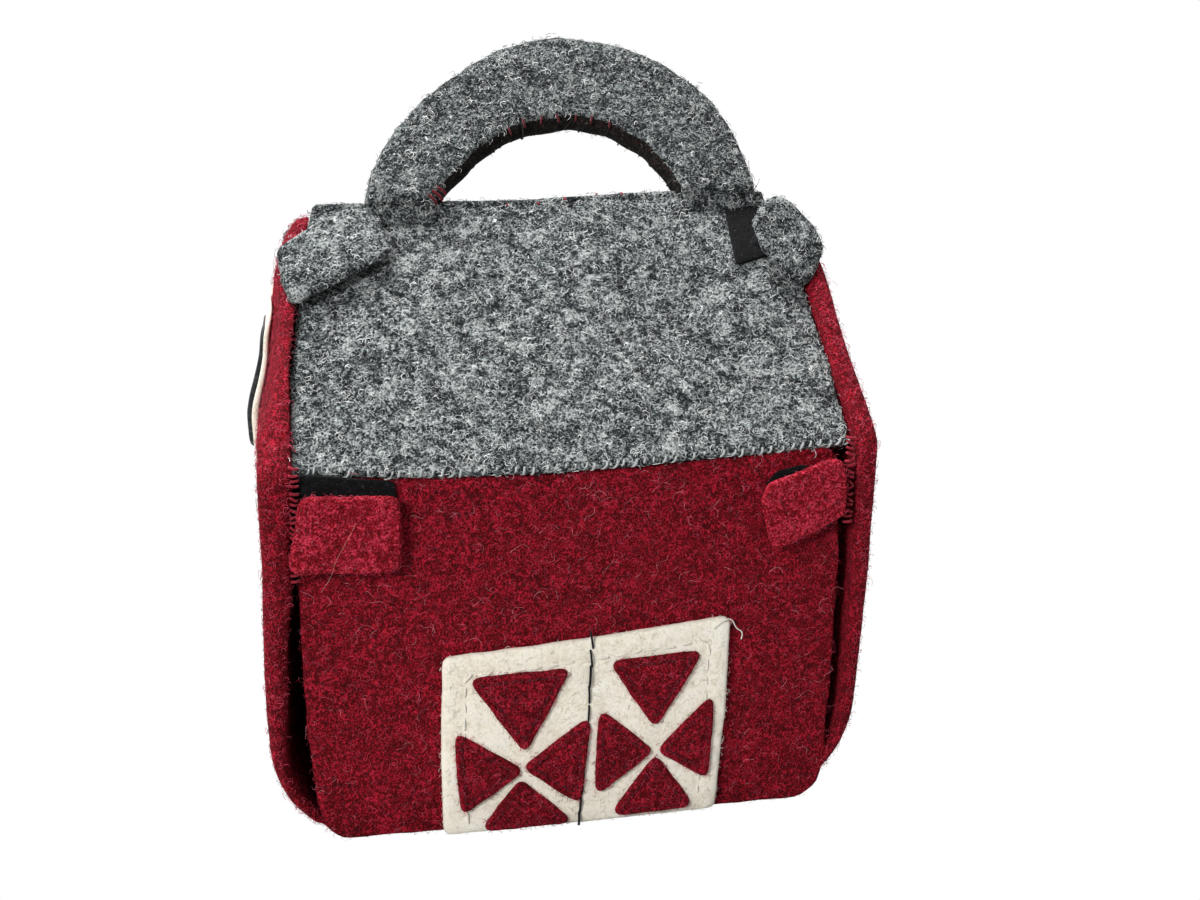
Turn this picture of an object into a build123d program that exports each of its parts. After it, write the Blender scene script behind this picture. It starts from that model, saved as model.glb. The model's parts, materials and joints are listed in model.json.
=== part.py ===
"""Toy barn bag of wool felt, with two gable ends that fold down, closing tabs and a padded handle.

Millimetres. +X to the right seen from the front, +Y to the back, +Z up.
The origin is on the ground, under the middle of the barn. The front wall faces -Y.
"""

import os
from math import cos, hypot, radians, sin, sqrt

from build123d import *

# ---- driving dimensions --------------------------------------------------------------

# Felt sheets
WALL_FELT = 3.0  # outer felt of walls, roof, base and gables
LINING = 1.5  # thin green felt inside
APPLIQUE_FELT = 2.0  # red triangles of the doors
TAB_FELT = 3.0

# Shell: front wall, roof and back wall
WALL_WIDTH = 200.0  # at the eaves
WALL_TAPER = 2.5  # each side edge runs in by this much at the foot
WALL_FOOT_RADIUS = 14.0
DEPTH = 180.0  # front face to back face
EAVE_HEIGHT = 144.0
RIDGE_HEIGHT = 228.0
EAVE_OVERHANG = 1.0
ROOF_OVERHANG = 2.0  # past each side edge of the walls
LINING_INSET = 5.0  # linings stop this far inside the side edges

# Base
BASE_PADDING = 4.0
BASE_PADDING_INSET = 8.0
BASE_CORNER_RADIUS = 22.0  # roll of the padded side under the barn

# Gable ends
GABLE_GAP = 2.5  # between a wall's side edge at the eaves and the gable
GABLE_PADDING = 3.0
GABLE_PADDING_INSET = 1.0
GABLE_LIP = 6.0  # stands in front of the walls
GABLE_ROOF_LIP = 3.0  # stands above the roof
GABLE_SHOULDER_RADIUS = 14.0
GABLE_PEAK_RADIUS = 10.0
GABLE_TOE_RADIUS = 12.0
GABLE_PIVOT_HEIGHT = 9.0  # crease where a gable folds, on its inner face
CREASE_CLEARANCE = 0.35
SEAT_CLEARANCE = 0.3

# Hayloft window on each gable
WINDOW_WIDTH = 56.0
WINDOW_HEIGHT = 64.0
WINDOW_SILL = 131.0
WINDOW_CORNER = 12.0
PANE_WIDTH = 42.0
PANE_HEIGHT = 48.0
PANE_SILL = 135.0
PANE_CORNER = 8.0

# Door panel, sewn flat on the front wall
DOOR_PANEL_WIDTH = 106.0
DOOR_PANEL_HEIGHT = 74.0
DOOR_PANEL_CORNER = 2.5
BRACE_HEIGHT = 24.5  # where the braces of a door cross
DOOR_MIDDLE = 24.5  # from the middle of the panel to where a door's braces cross
DOOR_HEAD = 11.5  # white strip left above the top triangles
DOOR_FOOT = 1.8  # white strip left under the bottom triangles
TOP_TRIANGLE_WIDTH = 41.0  # all triangles are measured to their sharp corners
TOP_TRIANGLE_DROP = 33.0
SIDE_TRIANGLE_HEIGHT = 36.5
SIDE_TRIANGLE_LENGTH = 25.0
BOTTOM_TRIANGLE_WIDTH = 40.0
BOTTOM_TRIANGLE_RISE = 18.5
BRACE_GAP = 1.2  # between the points of the two side triangles, before rounding
TRIANGLE_ROUND = 2.5

# Hook and loop patches
HOOK_THICKNESS = 1.6
LOOP_THICKNESS = 1.4
CLOSED_CLEARANCE = 0.4

# Red tabs at the eaves
WALL_TAB_LENGTH = 41.0
WALL_TAB_WIDTH = 28.0
WALL_TAB_HEIGHT = 121.5  # middle of the tab above the ground
WALL_TAB_CORNER = 5.0
WALL_LOOP_LENGTH = 24.0
WALL_LOOP_WIDTH = 22.0
WALL_LOOP_START = 12.0
WALL_HOOK_LENGTH = 32.0
WALL_HOOK_WIDTH = 25.0
WALL_HOOK_DROP = 0.5  # below the roof's edge
WALL_HOOK_START = 4.0

# Grey tabs at the ridge
ROOF_TAB_LENGTH = 50.0
ROOF_TAB_WIDTH = 22.0
ROOF_TAB_SLANT = 30.0  # degrees, up towards the ridge
ROOF_TAB_DROP = 42.1  # down the slope from the ridge
ROOF_TAB_CORNER = 5.0
ROOF_LOOP_LENGTH = 24.0
ROOF_LOOP_WIDTH = 18.0
ROOF_LOOP_START = 22.0
ROOF_HOOK_LENGTH = 26.0
ROOF_HOOK_WIDTH = 20.0
ROOF_HOOK_START = 20.0

# Handle
HANDLE_OUTER_WIDTH = 158.0
HANDLE_OUTER_HEIGHT = 77.0  # above the ridge, along the handle
HANDLE_INNER_WIDTH = 100.0
HANDLE_INNER_HEIGHT = 37.0
HANDLE_FELT = 3.0
HANDLE_PADDING = 7.0
HANDLE_PADDING_INSET = 1.0
HANDLE_LEAN = 39.0  # degrees back from upright

# ---- derived places ------------------------------------------------------------------

HALF_WALL = WALL_WIDTH / 2
HALF_DEPTH = DEPTH / 2
ROOF_RISE = RIDGE_HEIGHT - EAVE_HEIGHT
SLOPE_LENGTH = hypot(HALF_DEPTH, ROOF_RISE)
SLOPE_COS = HALF_DEPTH / SLOPE_LENGTH
SLOPE_SIN = ROOF_RISE / SLOPE_LENGTH
ROOF_WIDTH = WALL_WIDTH + 2 * ROOF_OVERHANG
ROOF_TAB_SEAT = SLOPE_LENGTH - ROOF_TAB_DROP  # up the slope from the eave
ROOF_PLANE = Plane(
    origin=(0, -HALF_DEPTH, EAVE_HEIGHT),
    x_dir=(1, 0, 0),
    z_dir=(0, -SLOPE_SIN, SLOPE_COS),
)
EAVE_EDGE = EAVE_HEIGHT - EAVE_OVERHANG * ROOF_RISE / HALF_DEPTH - WALL_FELT / SLOPE_COS
GABLE_INNER = HALF_WALL + GABLE_GAP
GABLE_THICKNESS = 2 * WALL_FELT + GABLE_PADDING
GABLE_OUTER = GABLE_INNER + GABLE_THICKNESS
BASE_TOP = WALL_FELT + BASE_PADDING + LINING
TAB_FACE = HOOK_THICKNESS + CLOSED_CLEARANCE + LOOP_THICKNESS  # back of a closed tab's felt
HANDLE_THICKNESS = 2 * HANDLE_FELT + HANDLE_PADDING
HANDLE_PIVOT = RIDGE_HEIGHT + SEAT_CLEARANCE + HANDLE_THICKNESS / 2
FAR = 400.0  # larger than the barn, for cutting blocks

SIDES = {"left": False, "right": True}
FACES = {"front": False, "back": True}


# ---- helpers -------------------------------------------------------------------------


def placed(shape, right=False, back=False):
    """A shape made for the left front, mirrored to its own side and face."""
    if right:
        shape = shape.mirror(Plane.YZ)
    if back:
        shape = shape.mirror(Plane.XZ)
    return shape


def along_x(points, x_from, x_to):
    """A solid whose section is an outline of (y, z) points."""
    section = make_face(Polyline(*[(x_from, y, z) for y, z in points], close=True))
    return extrude(section, amount=x_to - x_from, dir=(1, 0, 0))


def slope_slab(y_from, top, bottom, half_width):
    """Slab of the front slope from y_from to the ridge, between two depths under the roof's face."""

    def height(y, depth):
        return EAVE_HEIGHT + (y + HALF_DEPTH) * ROOF_RISE / HALF_DEPTH - depth / SLOPE_COS

    outline = [(y_from, height(y_from, top)), (0, height(0, top))]
    outline += [(0, height(0, bottom)), (y_from, height(y_from, bottom))]
    return along_x(outline, -half_width, half_width)


def under_roof(shape):
    """What is left of a shape below the roof felt."""
    above = slope_slab(-HALF_DEPTH - FAR / 2, -FAR, WALL_FELT, FAR)
    return shape - above


def roll_section(inset=0.0):
    """Section across the barn's foot with its rolled corners, drawn in X and Z and run along Y."""
    half = GABLE_OUTER - inset
    outline = Plane.XZ * Pos(0, inset + FAR / 2) * Rectangle(2 * half, FAR)
    foot = outline.vertices().group_by(Axis.Z)[0]
    outline = fillet(foot, BASE_CORNER_RADIUS - inset)
    return extrude(outline, amount=FAR / 2, both=True)


def rounded_plate(width, height, corner, thickness):
    return extrude(RectangleRounded(width, height, corner), amount=thickness)


# ---- walls ---------------------------------------------------------------------------


def wall_outline():
    """Front view of a wall: tapered a little, with rounded bottom corners."""
    foot = HALF_WALL - WALL_TAPER
    corners = [(-HALF_WALL, EAVE_HEIGHT), (-foot, 0), (foot, 0), (HALF_WALL, EAVE_HEIGHT)]
    outline = Plane.XZ * make_face(Polyline(*corners, close=True))
    return fillet(outline.vertices().group_by(Axis.Z)[0], WALL_FOOT_RADIUS)


def wall_felt(back):
    felt = Pos(0, -HALF_DEPTH, 0) * extrude(wall_outline(), amount=WALL_FELT, dir=(0, 1, 0))
    return placed(under_roof(felt), back=back)


def wall_lining(back):
    half = HALF_WALL - WALL_TAPER - LINING_INSET
    face = -HALF_DEPTH + WALL_FELT
    sheet = Box(2 * half, LINING, EAVE_HEIGHT, align=(Align.CENTER, Align.MIN, Align.MIN))
    sheet = Pos(0, face, BASE_TOP) * sheet
    return placed(under_roof(sheet), back=back)


# ---- roof ----------------------------------------------------------------------------


def roof_felt(back):
    slab = slope_slab(-HALF_DEPTH - EAVE_OVERHANG, 0, WALL_FELT, ROOF_WIDTH / 2)
    return placed(slab, back=back)


def roof_lining(back):
    start = -HALF_DEPTH + WALL_FELT + LINING
    half = ROOF_WIDTH / 2 - LINING_INSET
    slab = slope_slab(start, WALL_FELT, WALL_FELT + LINING, half)
    return placed(slab, back=back)


# ---- base ----------------------------------------------------------------------------


def crease_clear():
    """Room that the feet of the two gables sweep while they fold."""
    drop = BASE_CORNER_RADIUS - sqrt(BASE_CORNER_RADIUS**2 - (BASE_CORNER_RADIUS - GABLE_THICKNESS) ** 2)
    radius = GABLE_PIVOT_HEIGHT - drop + CREASE_CLEARANCE
    roll = Rot(90, 0, 0) * Cylinder(radius, FAR)
    outside = Box(FAR, FAR, FAR, align=(Align.MAX, Align.CENTER, Align.CENTER))
    left = Pos(-GABLE_INNER, 0, GABLE_PIVOT_HEIGHT) * roll
    left += Pos(-GABLE_INNER + SEAT_CLEARANCE, 0, 0) * outside
    return left + left.mirror(Plane.YZ)


def between_walls(low, high, half_width, inset=0.0):
    half_depth = HALF_DEPTH - WALL_FELT - inset
    block = Box(2 * half_width, 2 * half_depth, high - low, align=(Align.CENTER, Align.CENTER, Align.MIN))
    return Pos(0, 0, low) * block


def base_outer_felt():
    """Flat felt whose side edges turn up towards the gables' creases."""
    sheet = roll_section() - roll_section(WALL_FELT)
    sheet &= between_walls(0, GABLE_PIVOT_HEIGHT, GABLE_INNER)
    return sheet - crease_clear()


def base_padding():
    half = GABLE_INNER - BASE_PADDING_INSET
    return between_walls(WALL_FELT, WALL_FELT + BASE_PADDING, half) & roll_section(WALL_FELT)


def base_lining():
    half = GABLE_INNER - BASE_PADDING_INSET
    return between_walls(WALL_FELT + BASE_PADDING, BASE_TOP, half)


# ---- gable ends ----------------------------------------------------------------------


def gable_outline(inset=0.0):
    """Side view of a gable end, with rounded toes, shoulders and peak."""
    half = HALF_DEPTH + GABLE_LIP - inset
    rise = (GABLE_ROOF_LIP - inset) / SLOPE_COS
    slope = ROOF_RISE / HALF_DEPTH
    shoulder = EAVE_HEIGHT + rise + (HALF_DEPTH - half) * slope
    corners = [(-half, inset), (-half, shoulder), (0, RIDGE_HEIGHT + rise), (half, shoulder), (half, inset)]
    outline = Plane.YZ * make_face(Polyline(*corners, close=True))
    outline = fillet(outline.vertices().group_by(Axis.Z)[0], GABLE_TOE_RADIUS)
    outline = fillet(outline.vertices().group_by(Axis.Z)[-2], GABLE_SHOULDER_RADIUS)
    return fillet(outline.vertices().group_by(Axis.Z)[-1], GABLE_PEAK_RADIUS)


def gable_layer(near, far, right, inset=0.0):
    """One layer of a gable end, between two distances out from its inner face."""
    layer = extrude(gable_outline(inset), amount=far - near, dir=(-1, 0, 0))
    layer = Pos(-GABLE_INNER - near, 0, 0) * layer
    return placed(layer & roll_section(inset), right=right)


def window_panel(right):
    plate = rounded_plate(WINDOW_HEIGHT, WINDOW_WIDTH, WINDOW_CORNER, WALL_FELT)
    middle = WINDOW_SILL + WINDOW_HEIGHT / 2
    return placed(Pos(-GABLE_OUTER, 0, middle) * Rot(0, -90, 0) * plate, right=right)


def window_pane(right):
    plate = rounded_plate(PANE_HEIGHT, PANE_WIDTH, PANE_CORNER, WALL_FELT)
    middle = PANE_SILL + PANE_HEIGHT / 2
    return placed(Pos(-GABLE_OUTER - WALL_FELT, 0, middle) * Rot(0, -90, 0) * plate, right=right)


# ---- door panel ----------------------------------------------------------------------


def door_panel():
    plate = rounded_plate(DOOR_PANEL_WIDTH, DOOR_PANEL_HEIGHT, DOOR_PANEL_CORNER, WALL_FELT)
    return Pos(0, -HALF_DEPTH, DOOR_PANEL_HEIGHT / 2) * Rot(90, 0, 0) * plate


def door_triangles(right):
    """The four rounded triangles that leave a white X brace on one door."""
    top = DOOR_PANEL_HEIGHT - DOOR_HEAD
    half_top = TOP_TRIANGLE_WIDTH / 2
    half_bottom = BOTTOM_TRIANGLE_WIDTH / 2
    tip = BRACE_GAP / 2 - TRIANGLE_ROUND / 2
    low = BRACE_HEIGHT - SIDE_TRIANGLE_HEIGHT / 2
    high = BRACE_HEIGHT + SIDE_TRIANGLE_HEIGHT / 2
    reach = tip + SIDE_TRIANGLE_LENGTH
    foot_tip = DOOR_FOOT + BOTTOM_TRIANGLE_RISE
    outlines = {
        "top": [(-half_top, top), (half_top, top), (0, top - TOP_TRIANGLE_DROP)],
        "bottom": [(-half_bottom, DOOR_FOOT), (half_bottom, DOOR_FOOT), (0, foot_tip)],
        "outer": [(-reach, low), (-reach, high), (-tip, BRACE_HEIGHT)],
        "inner": [(reach, low), (reach, high), (tip, BRACE_HEIGHT)],
    }
    found = {}
    for place, corners in outlines.items():
        face = make_face(Polyline(*[(x - DOOR_MIDDLE, z) for x, z in corners], close=True))
        face = fillet(face.vertices(), TRIANGLE_ROUND)
        piece = extrude(face, amount=APPLIQUE_FELT)
        piece = Pos(0, -HALF_DEPTH - WALL_FELT, 0) * Rot(90, 0, 0) * piece
        found[place] = placed(piece, right=right)
    return found


# ---- tabs ----------------------------------------------------------------------------


def wall_tab_piece(start, length, width, middle, back_face, thickness, corner, right, back):
    """A plate parallel to the wall, reaching in from the gable's edge."""
    plate = rounded_plate(length, width, corner, thickness)
    x = -GABLE_INNER + SEAT_CLEARANCE + start + length / 2
    plate = Pos(x, -HALF_DEPTH - back_face, middle) * Rot(90, 0, 0) * plate
    return placed(plate, right=right, back=back)


def wall_tab_felt(right, back):
    return wall_tab_piece(
        0, WALL_TAB_LENGTH, WALL_TAB_WIDTH, WALL_TAB_HEIGHT, TAB_FACE, TAB_FELT, WALL_TAB_CORNER, right, back
    )


def wall_tab_loop(right, back):
    near = TAB_FACE - LOOP_THICKNESS
    size = (WALL_LOOP_LENGTH, WALL_LOOP_WIDTH)
    return wall_tab_piece(WALL_LOOP_START, *size, WALL_TAB_HEIGHT, near, LOOP_THICKNESS, 1.0, right, back)


def wall_hook_patch(right, back):
    middle = EAVE_EDGE - WALL_HOOK_DROP - WALL_HOOK_WIDTH / 2
    return wall_tab_piece(
        WALL_HOOK_START, WALL_HOOK_LENGTH, WALL_HOOK_WIDTH, middle, 0, HOOK_THICKNESS, 1.0, right, back
    )


def roof_tab_piece(start, length, width, near, thickness, corner, right, back):
    """A plate parallel to the roof, slanting up and in from the gable's outer edge."""
    plate = Pos(start + length / 2, 0, near) * rounded_plate(length, width, corner, thickness)
    root = Pos(-GABLE_OUTER + SEAT_CLEARANCE, ROOF_TAB_SEAT, 0)
    inward = Box(FAR, FAR, FAR, align=(Align.MIN, Align.CENTER, Align.CENTER))
    piece = root * (Rot(0, 0, ROOF_TAB_SLANT) * plate & inward)
    return placed(ROOF_PLANE * piece, right=right, back=back)


def roof_tab_felt(right, back):
    slack = ROOF_TAB_WIDTH  # cut off again along the gable's edge
    return roof_tab_piece(
        -slack, ROOF_TAB_LENGTH + slack, ROOF_TAB_WIDTH, TAB_FACE, TAB_FELT, ROOF_TAB_CORNER, right, back
    )


def roof_tab_loop(right, back):
    near = TAB_FACE - LOOP_THICKNESS
    size = (ROOF_LOOP_LENGTH, ROOF_LOOP_WIDTH)
    return roof_tab_piece(ROOF_LOOP_START, *size, near, LOOP_THICKNESS, 1.0, right, back)


def roof_hook_patch(right, back):
    return roof_tab_piece(
        ROOF_HOOK_START, ROOF_HOOK_LENGTH, ROOF_HOOK_WIDTH, 0, HOOK_THICKNESS, 1.0, right, back
    )


# ---- handle --------------------------------------------------------------------------


def handle_layer(near, far, inset=0.0):
    """One layer of the arched handle, between two distances from its middle plane."""
    lean = radians(HANDLE_LEAN)
    plane = Plane(origin=(0, 0, HANDLE_PIVOT), x_dir=(1, 0, 0), z_dir=(0, -cos(lean), sin(lean)))
    drop = (HANDLE_PIVOT - RIDGE_HEIGHT) / cos(lean)
    radius = HANDLE_THICKNESS / 2
    arch = Ellipse(HANDLE_OUTER_WIDTH / 2 - inset, HANDLE_OUTER_HEIGHT - inset)
    arch -= Ellipse(HANDLE_INNER_WIDTH / 2 + inset, HANDLE_INNER_HEIGHT + inset)
    band = extrude(Pos(0, -drop) * arch, amount=radius, both=True)
    above = Box(FAR, FAR, FAR, align=(Align.CENTER, Align.MIN, Align.CENTER))
    foot = Rot(0, 90, 0) * Cylinder(radius - inset, FAR)
    layer = Box(FAR, FAR, far - near, align=(Align.CENTER, Align.CENTER, Align.MIN))
    piece = band & (above + foot) & (Pos(0, 0, near) * layer)
    return plane * piece


# ---- the assembly --------------------------------------------------------------------


def build():
    nodes = {
        "base_outer_felt": base_outer_felt(),
        "base_padding": base_padding(),
        "base_lining": base_lining(),
        "door_panel": door_panel(),
    }
    for face, back in FACES.items():
        nodes[f"{face}_wall_felt"] = wall_felt(back)
        nodes[f"{face}_wall_lining"] = wall_lining(back)
        nodes[f"{face}_roof_felt"] = roof_felt(back)
        nodes[f"{face}_roof_lining"] = roof_lining(back)
    for side, right in SIDES.items():
        for place, piece in door_triangles(right).items():
            nodes[f"{side}_door_{place}_triangle"] = piece
        middle = WALL_FELT + GABLE_PADDING
        nodes[f"{side}_gable_inner_felt"] = gable_layer(0, WALL_FELT, right)
        nodes[f"{side}_gable_padding"] = gable_layer(WALL_FELT, middle, right, GABLE_PADDING_INSET)
        nodes[f"{side}_gable_outer_felt"] = gable_layer(middle, GABLE_THICKNESS, right)
        nodes[f"{side}_window_panel"] = window_panel(right)
        nodes[f"{side}_window_pane"] = window_pane(right)
        for face, back in FACES.items():
            nodes[f"{face}_{side}_wall_tab"] = wall_tab_felt(right, back)
            nodes[f"{face}_{side}_wall_tab_loop"] = wall_tab_loop(right, back)
            nodes[f"{face}_{side}_wall_hook"] = wall_hook_patch(right, back)
            nodes[f"{face}_{side}_roof_tab"] = roof_tab_felt(right, back)
            nodes[f"{face}_{side}_roof_tab_loop"] = roof_tab_loop(right, back)
            nodes[f"{face}_{side}_roof_hook"] = roof_hook_patch(right, back)
    half = HANDLE_PADDING / 2
    nodes["handle_front_felt"] = handle_layer(half, half + HANDLE_FELT)
    nodes["handle_padding"] = handle_layer(-half, half, HANDLE_PADDING_INSET)
    nodes["handle_back_felt"] = handle_layer(-half - HANDLE_FELT, -half)
    return nodes


os.makedirs("parts", exist_ok=True)
for name, shape in build().items():
    export_step(shape, f"parts/{name}.step")
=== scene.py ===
"""A toy barn bag sewn from wool felt, with two padded gable ends that fold down.

Shapes are written in millimetres and turned to metres by at(). +X is to the right seen from
the front, +Y to the back and +Z up. The front wall faces -Y.
"""

import json
from functools import partial
from math import cos, pi, radians, sin, sqrt, tan

import bmesh
import bpy
from mathutils import Matrix, Vector, geometry, noise

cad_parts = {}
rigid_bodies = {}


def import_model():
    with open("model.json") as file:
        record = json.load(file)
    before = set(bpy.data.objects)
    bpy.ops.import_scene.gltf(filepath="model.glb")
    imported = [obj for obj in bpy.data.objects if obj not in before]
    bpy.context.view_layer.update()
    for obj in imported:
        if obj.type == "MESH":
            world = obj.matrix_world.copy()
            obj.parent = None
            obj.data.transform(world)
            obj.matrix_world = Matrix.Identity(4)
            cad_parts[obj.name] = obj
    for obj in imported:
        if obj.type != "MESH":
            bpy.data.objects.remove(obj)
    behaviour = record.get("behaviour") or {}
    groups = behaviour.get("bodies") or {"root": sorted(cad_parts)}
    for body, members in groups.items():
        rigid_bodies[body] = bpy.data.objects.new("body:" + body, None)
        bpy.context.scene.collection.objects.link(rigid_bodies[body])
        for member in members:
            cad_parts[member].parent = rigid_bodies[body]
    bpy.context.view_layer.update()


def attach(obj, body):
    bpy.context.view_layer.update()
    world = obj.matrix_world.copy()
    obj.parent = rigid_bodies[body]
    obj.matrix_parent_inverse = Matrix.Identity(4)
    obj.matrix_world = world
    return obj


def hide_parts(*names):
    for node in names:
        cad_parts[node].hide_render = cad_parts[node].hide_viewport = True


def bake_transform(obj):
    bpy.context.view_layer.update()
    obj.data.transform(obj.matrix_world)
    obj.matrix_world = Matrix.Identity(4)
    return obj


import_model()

# ---- Table, light and camera ---------------------------------------------------------
# A pale floor under soft studio light from large lamps. The camera stands a little to the
# left of the barn and above it, and looks down at the front wall and the roof.


def put(name, data):
    """Makes an object and puts it in the scene."""
    made = bpy.data.objects.new(name, data)
    bpy.context.collection.objects.link(made)
    return made


def feed(tree, socket, value):
    """Links a socket to an output or to a node's first output, or else sets it to the value."""
    if isinstance(value, bpy.types.Node):
        value = value.outputs[0]
    if isinstance(value, bpy.types.NodeSocket):
        tree.links.new(value, socket)
    else:
        socket.default_value = value


def node(tree, kind, *values, **settings):
    """Adds a node and feeds its inputs: values in their order, and settings by name.

    A setting that has the name of one of the node's own is set on the node.
    """
    made = tree.nodes.new(kind)
    for name, value in settings.items():
        if hasattr(made, name):
            setattr(made, name, value)
        else:
            feed(tree, made.inputs[name.replace("_", " ")], value)
    for socket, value in zip(made.inputs, values):
        feed(tree, socket, value)
    return made


def two_looks(tree, end, to_camera, to_light):
    """Shows one shader to the camera and another to the light."""
    seen = node(tree, "ShaderNodeLightPath").outputs["Is Camera Ray"]
    node(tree, end, Surface=node(tree, "ShaderNodeMixShader", seen, to_light, to_camera))


floor_mesh = bpy.data.meshes.new("floor")
floor_mesh.from_pydata([(-8, -8, 0), (8, -8, 0), (8, 8, 0), (-8, 8, 0)], [], [(0, 1, 2, 3)])
floor = put("floor", floor_mesh)
paper = bpy.data.materials.new("studio_paper")
paper.use_nodes = True
tree = paper.node_tree
tree.nodes.clear()
two_looks(
    tree, "ShaderNodeOutputMaterial", node(tree, "ShaderNodeEmission", Color=(1, 1, 1, 1), Strength=1.0),
    node(tree, "ShaderNodeBsdfDiffuse", Color=(0.4, 0.4, 0.4, 1)),
)
floor_mesh.materials.append(paper)

world = bpy.data.worlds.new("studio")
bpy.context.scene.world = world
world.use_nodes = True
tree = world.node_tree
tree.nodes.clear()
two_looks(
    tree, "ShaderNodeOutputWorld", node(tree, "ShaderNodeBackground", Color=(1, 1, 1, 1), Strength=1.0),
    node(tree, "ShaderNodeBackground", Color=(0.97, 0.985, 1.0, 1), Strength=0.27),
)

for name, place, aim, size, watts in (
    ("top_lamp", (-0.28, 0.22, 1.32), (0, 0.02, 0.12), 0.36, 19.0),
    ("left_lamp", (-0.9, -1.1, 0.85), (0, 0, 0.10), 0.5, 17.0),
    ("back_lamp", (0.9, 1.2, 1.0), (0, 0, 0.12), 0.8, 4.0),
):
    light = bpy.data.lights.new(name, "AREA")
    light.shape, light.size, light.energy = "DISK", size, watts
    stand = put(name, light)
    stand.location = place
    stand.rotation_mode = "QUATERNION"
    stand.rotation_quaternion = (Vector(aim) - Vector(place)).to_track_quat("-Z", "Y")

AIM = Vector((0.0223, 0.0, 0.1208))
TURN, RISE, ROLL, STEP_BACK = radians(8.90), radians(15.82), radians(-0.86), 0.6603
away = Vector((-sin(TURN) * cos(RISE), -cos(TURN) * cos(RISE), sin(RISE)))
camera = put("camera", bpy.data.cameras.new("camera"))
camera.data.sensor_width, camera.data.lens = 36.0, 46.47
camera.data.clip_start, camera.data.clip_end = 0.01, 50
right = (-away).cross(Vector((0, 0, 1))).normalized()
above = right.cross(-away)
rolled_right = right * cos(ROLL) + above * sin(ROLL)
rolled_up = -right * sin(ROLL) + above * cos(ROLL)
camera.matrix_world = Matrix.Translation(AIM + away * STEP_BACK) @ Matrix(
    (rolled_right, rolled_up, away)
).transposed().to_4x4()
bpy.context.scene.camera = camera
bpy.context.scene.view_settings.view_transform = "Standard"

# ---- Base ----------------------------------------------------------------------------
# The bottom of the barn: red felt with wadding on it, which rolls up at the left and right
# into the feet of the gable ends, and a green felt sheet laid inside.


def clip(t):
    return min(max(t, 0.0), 1.0)


def ease(t):
    """Goes smoothly from 0 to 1 as t does."""
    t = clip(t)
    return t * t * (3 - 2 * t)


LOWEST = 0.15  # no felt comes nearer to the floor than this
SETTLED, SETTLED_TO = 3.0, 150.0  # the foot has moved this far to the left, and nothing above this height


def settled(z):
    return SETTLED * (1 - ease(z / SETTLED_TO))


def at(x, y, z):
    """A point of the barn in metres. Its lower part has settled a little to the left."""
    return Vector((x - settled(z), y, max(z, LOWEST))) / 1000.0


def wavy(u, v, seed, size):
    """Smooth noise, with waves of about the size given."""
    return noise.noise(Vector((u / size, v / size, seed * 7.31)))


def rounded(corners, radius, step, uneven=0.35, seed=0):
    """A closed outline with rounded corners, a point at each step, cut slightly unevenly by hand."""
    ends = [Vector(c[:2]) for c in corners]
    path = []
    for i, p in enumerate(ends):
        a, b = ends[i - 1], ends[(i + 1) % len(ends)]
        r = corners[i][2] if len(corners[i]) > 2 else radius
        to_a, to_b = (a - p).normalized(), (b - p).normalized()
        opening = max(to_a.angle(to_b), 0.05)
        cut = min(r / tan(opening / 2), 0.48 * (a - p).length, 0.48 * (b - p).length)
        for k in range(7):
            t = k / 6
            path.append((p + to_a * cut) * (1 - t) ** 2 + p * 2 * t * (1 - t) + (p + to_b * cut) * t * t)
    lengths = [(path[(i + 1) % len(path)] - q).length for i, q in enumerate(path)]
    count = max(12, round(sum(lengths) / step))
    made, i, done = [], 0, 0.0
    for k in range(count):
        goal = k * sum(lengths) / count
        while done + lengths[i] < goal:
            done += lengths[i]
            i += 1
        made.append(path[i].lerp(path[(i + 1) % len(path)], (goal - done) / max(lengths[i], 1e-9)))
    area = sum(p.x * q.y - q.x * p.y for p, q in zip(made, made[1:] + made[:1]))
    if area < 0:
        made.reverse()
    smooth = []
    for k, p in enumerate(made):
        run = (made[(k + 1) % count] - made[k - 1]).normalized()
        inward = Vector((-run.y, run.x))
        smooth.append(p + inward * uneven * (wavy(p.x, p.y, seed + 3, 9) + 0.5 * wavy(p.x, p.y, seed + 5, 3.5)))
    return smooth


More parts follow.
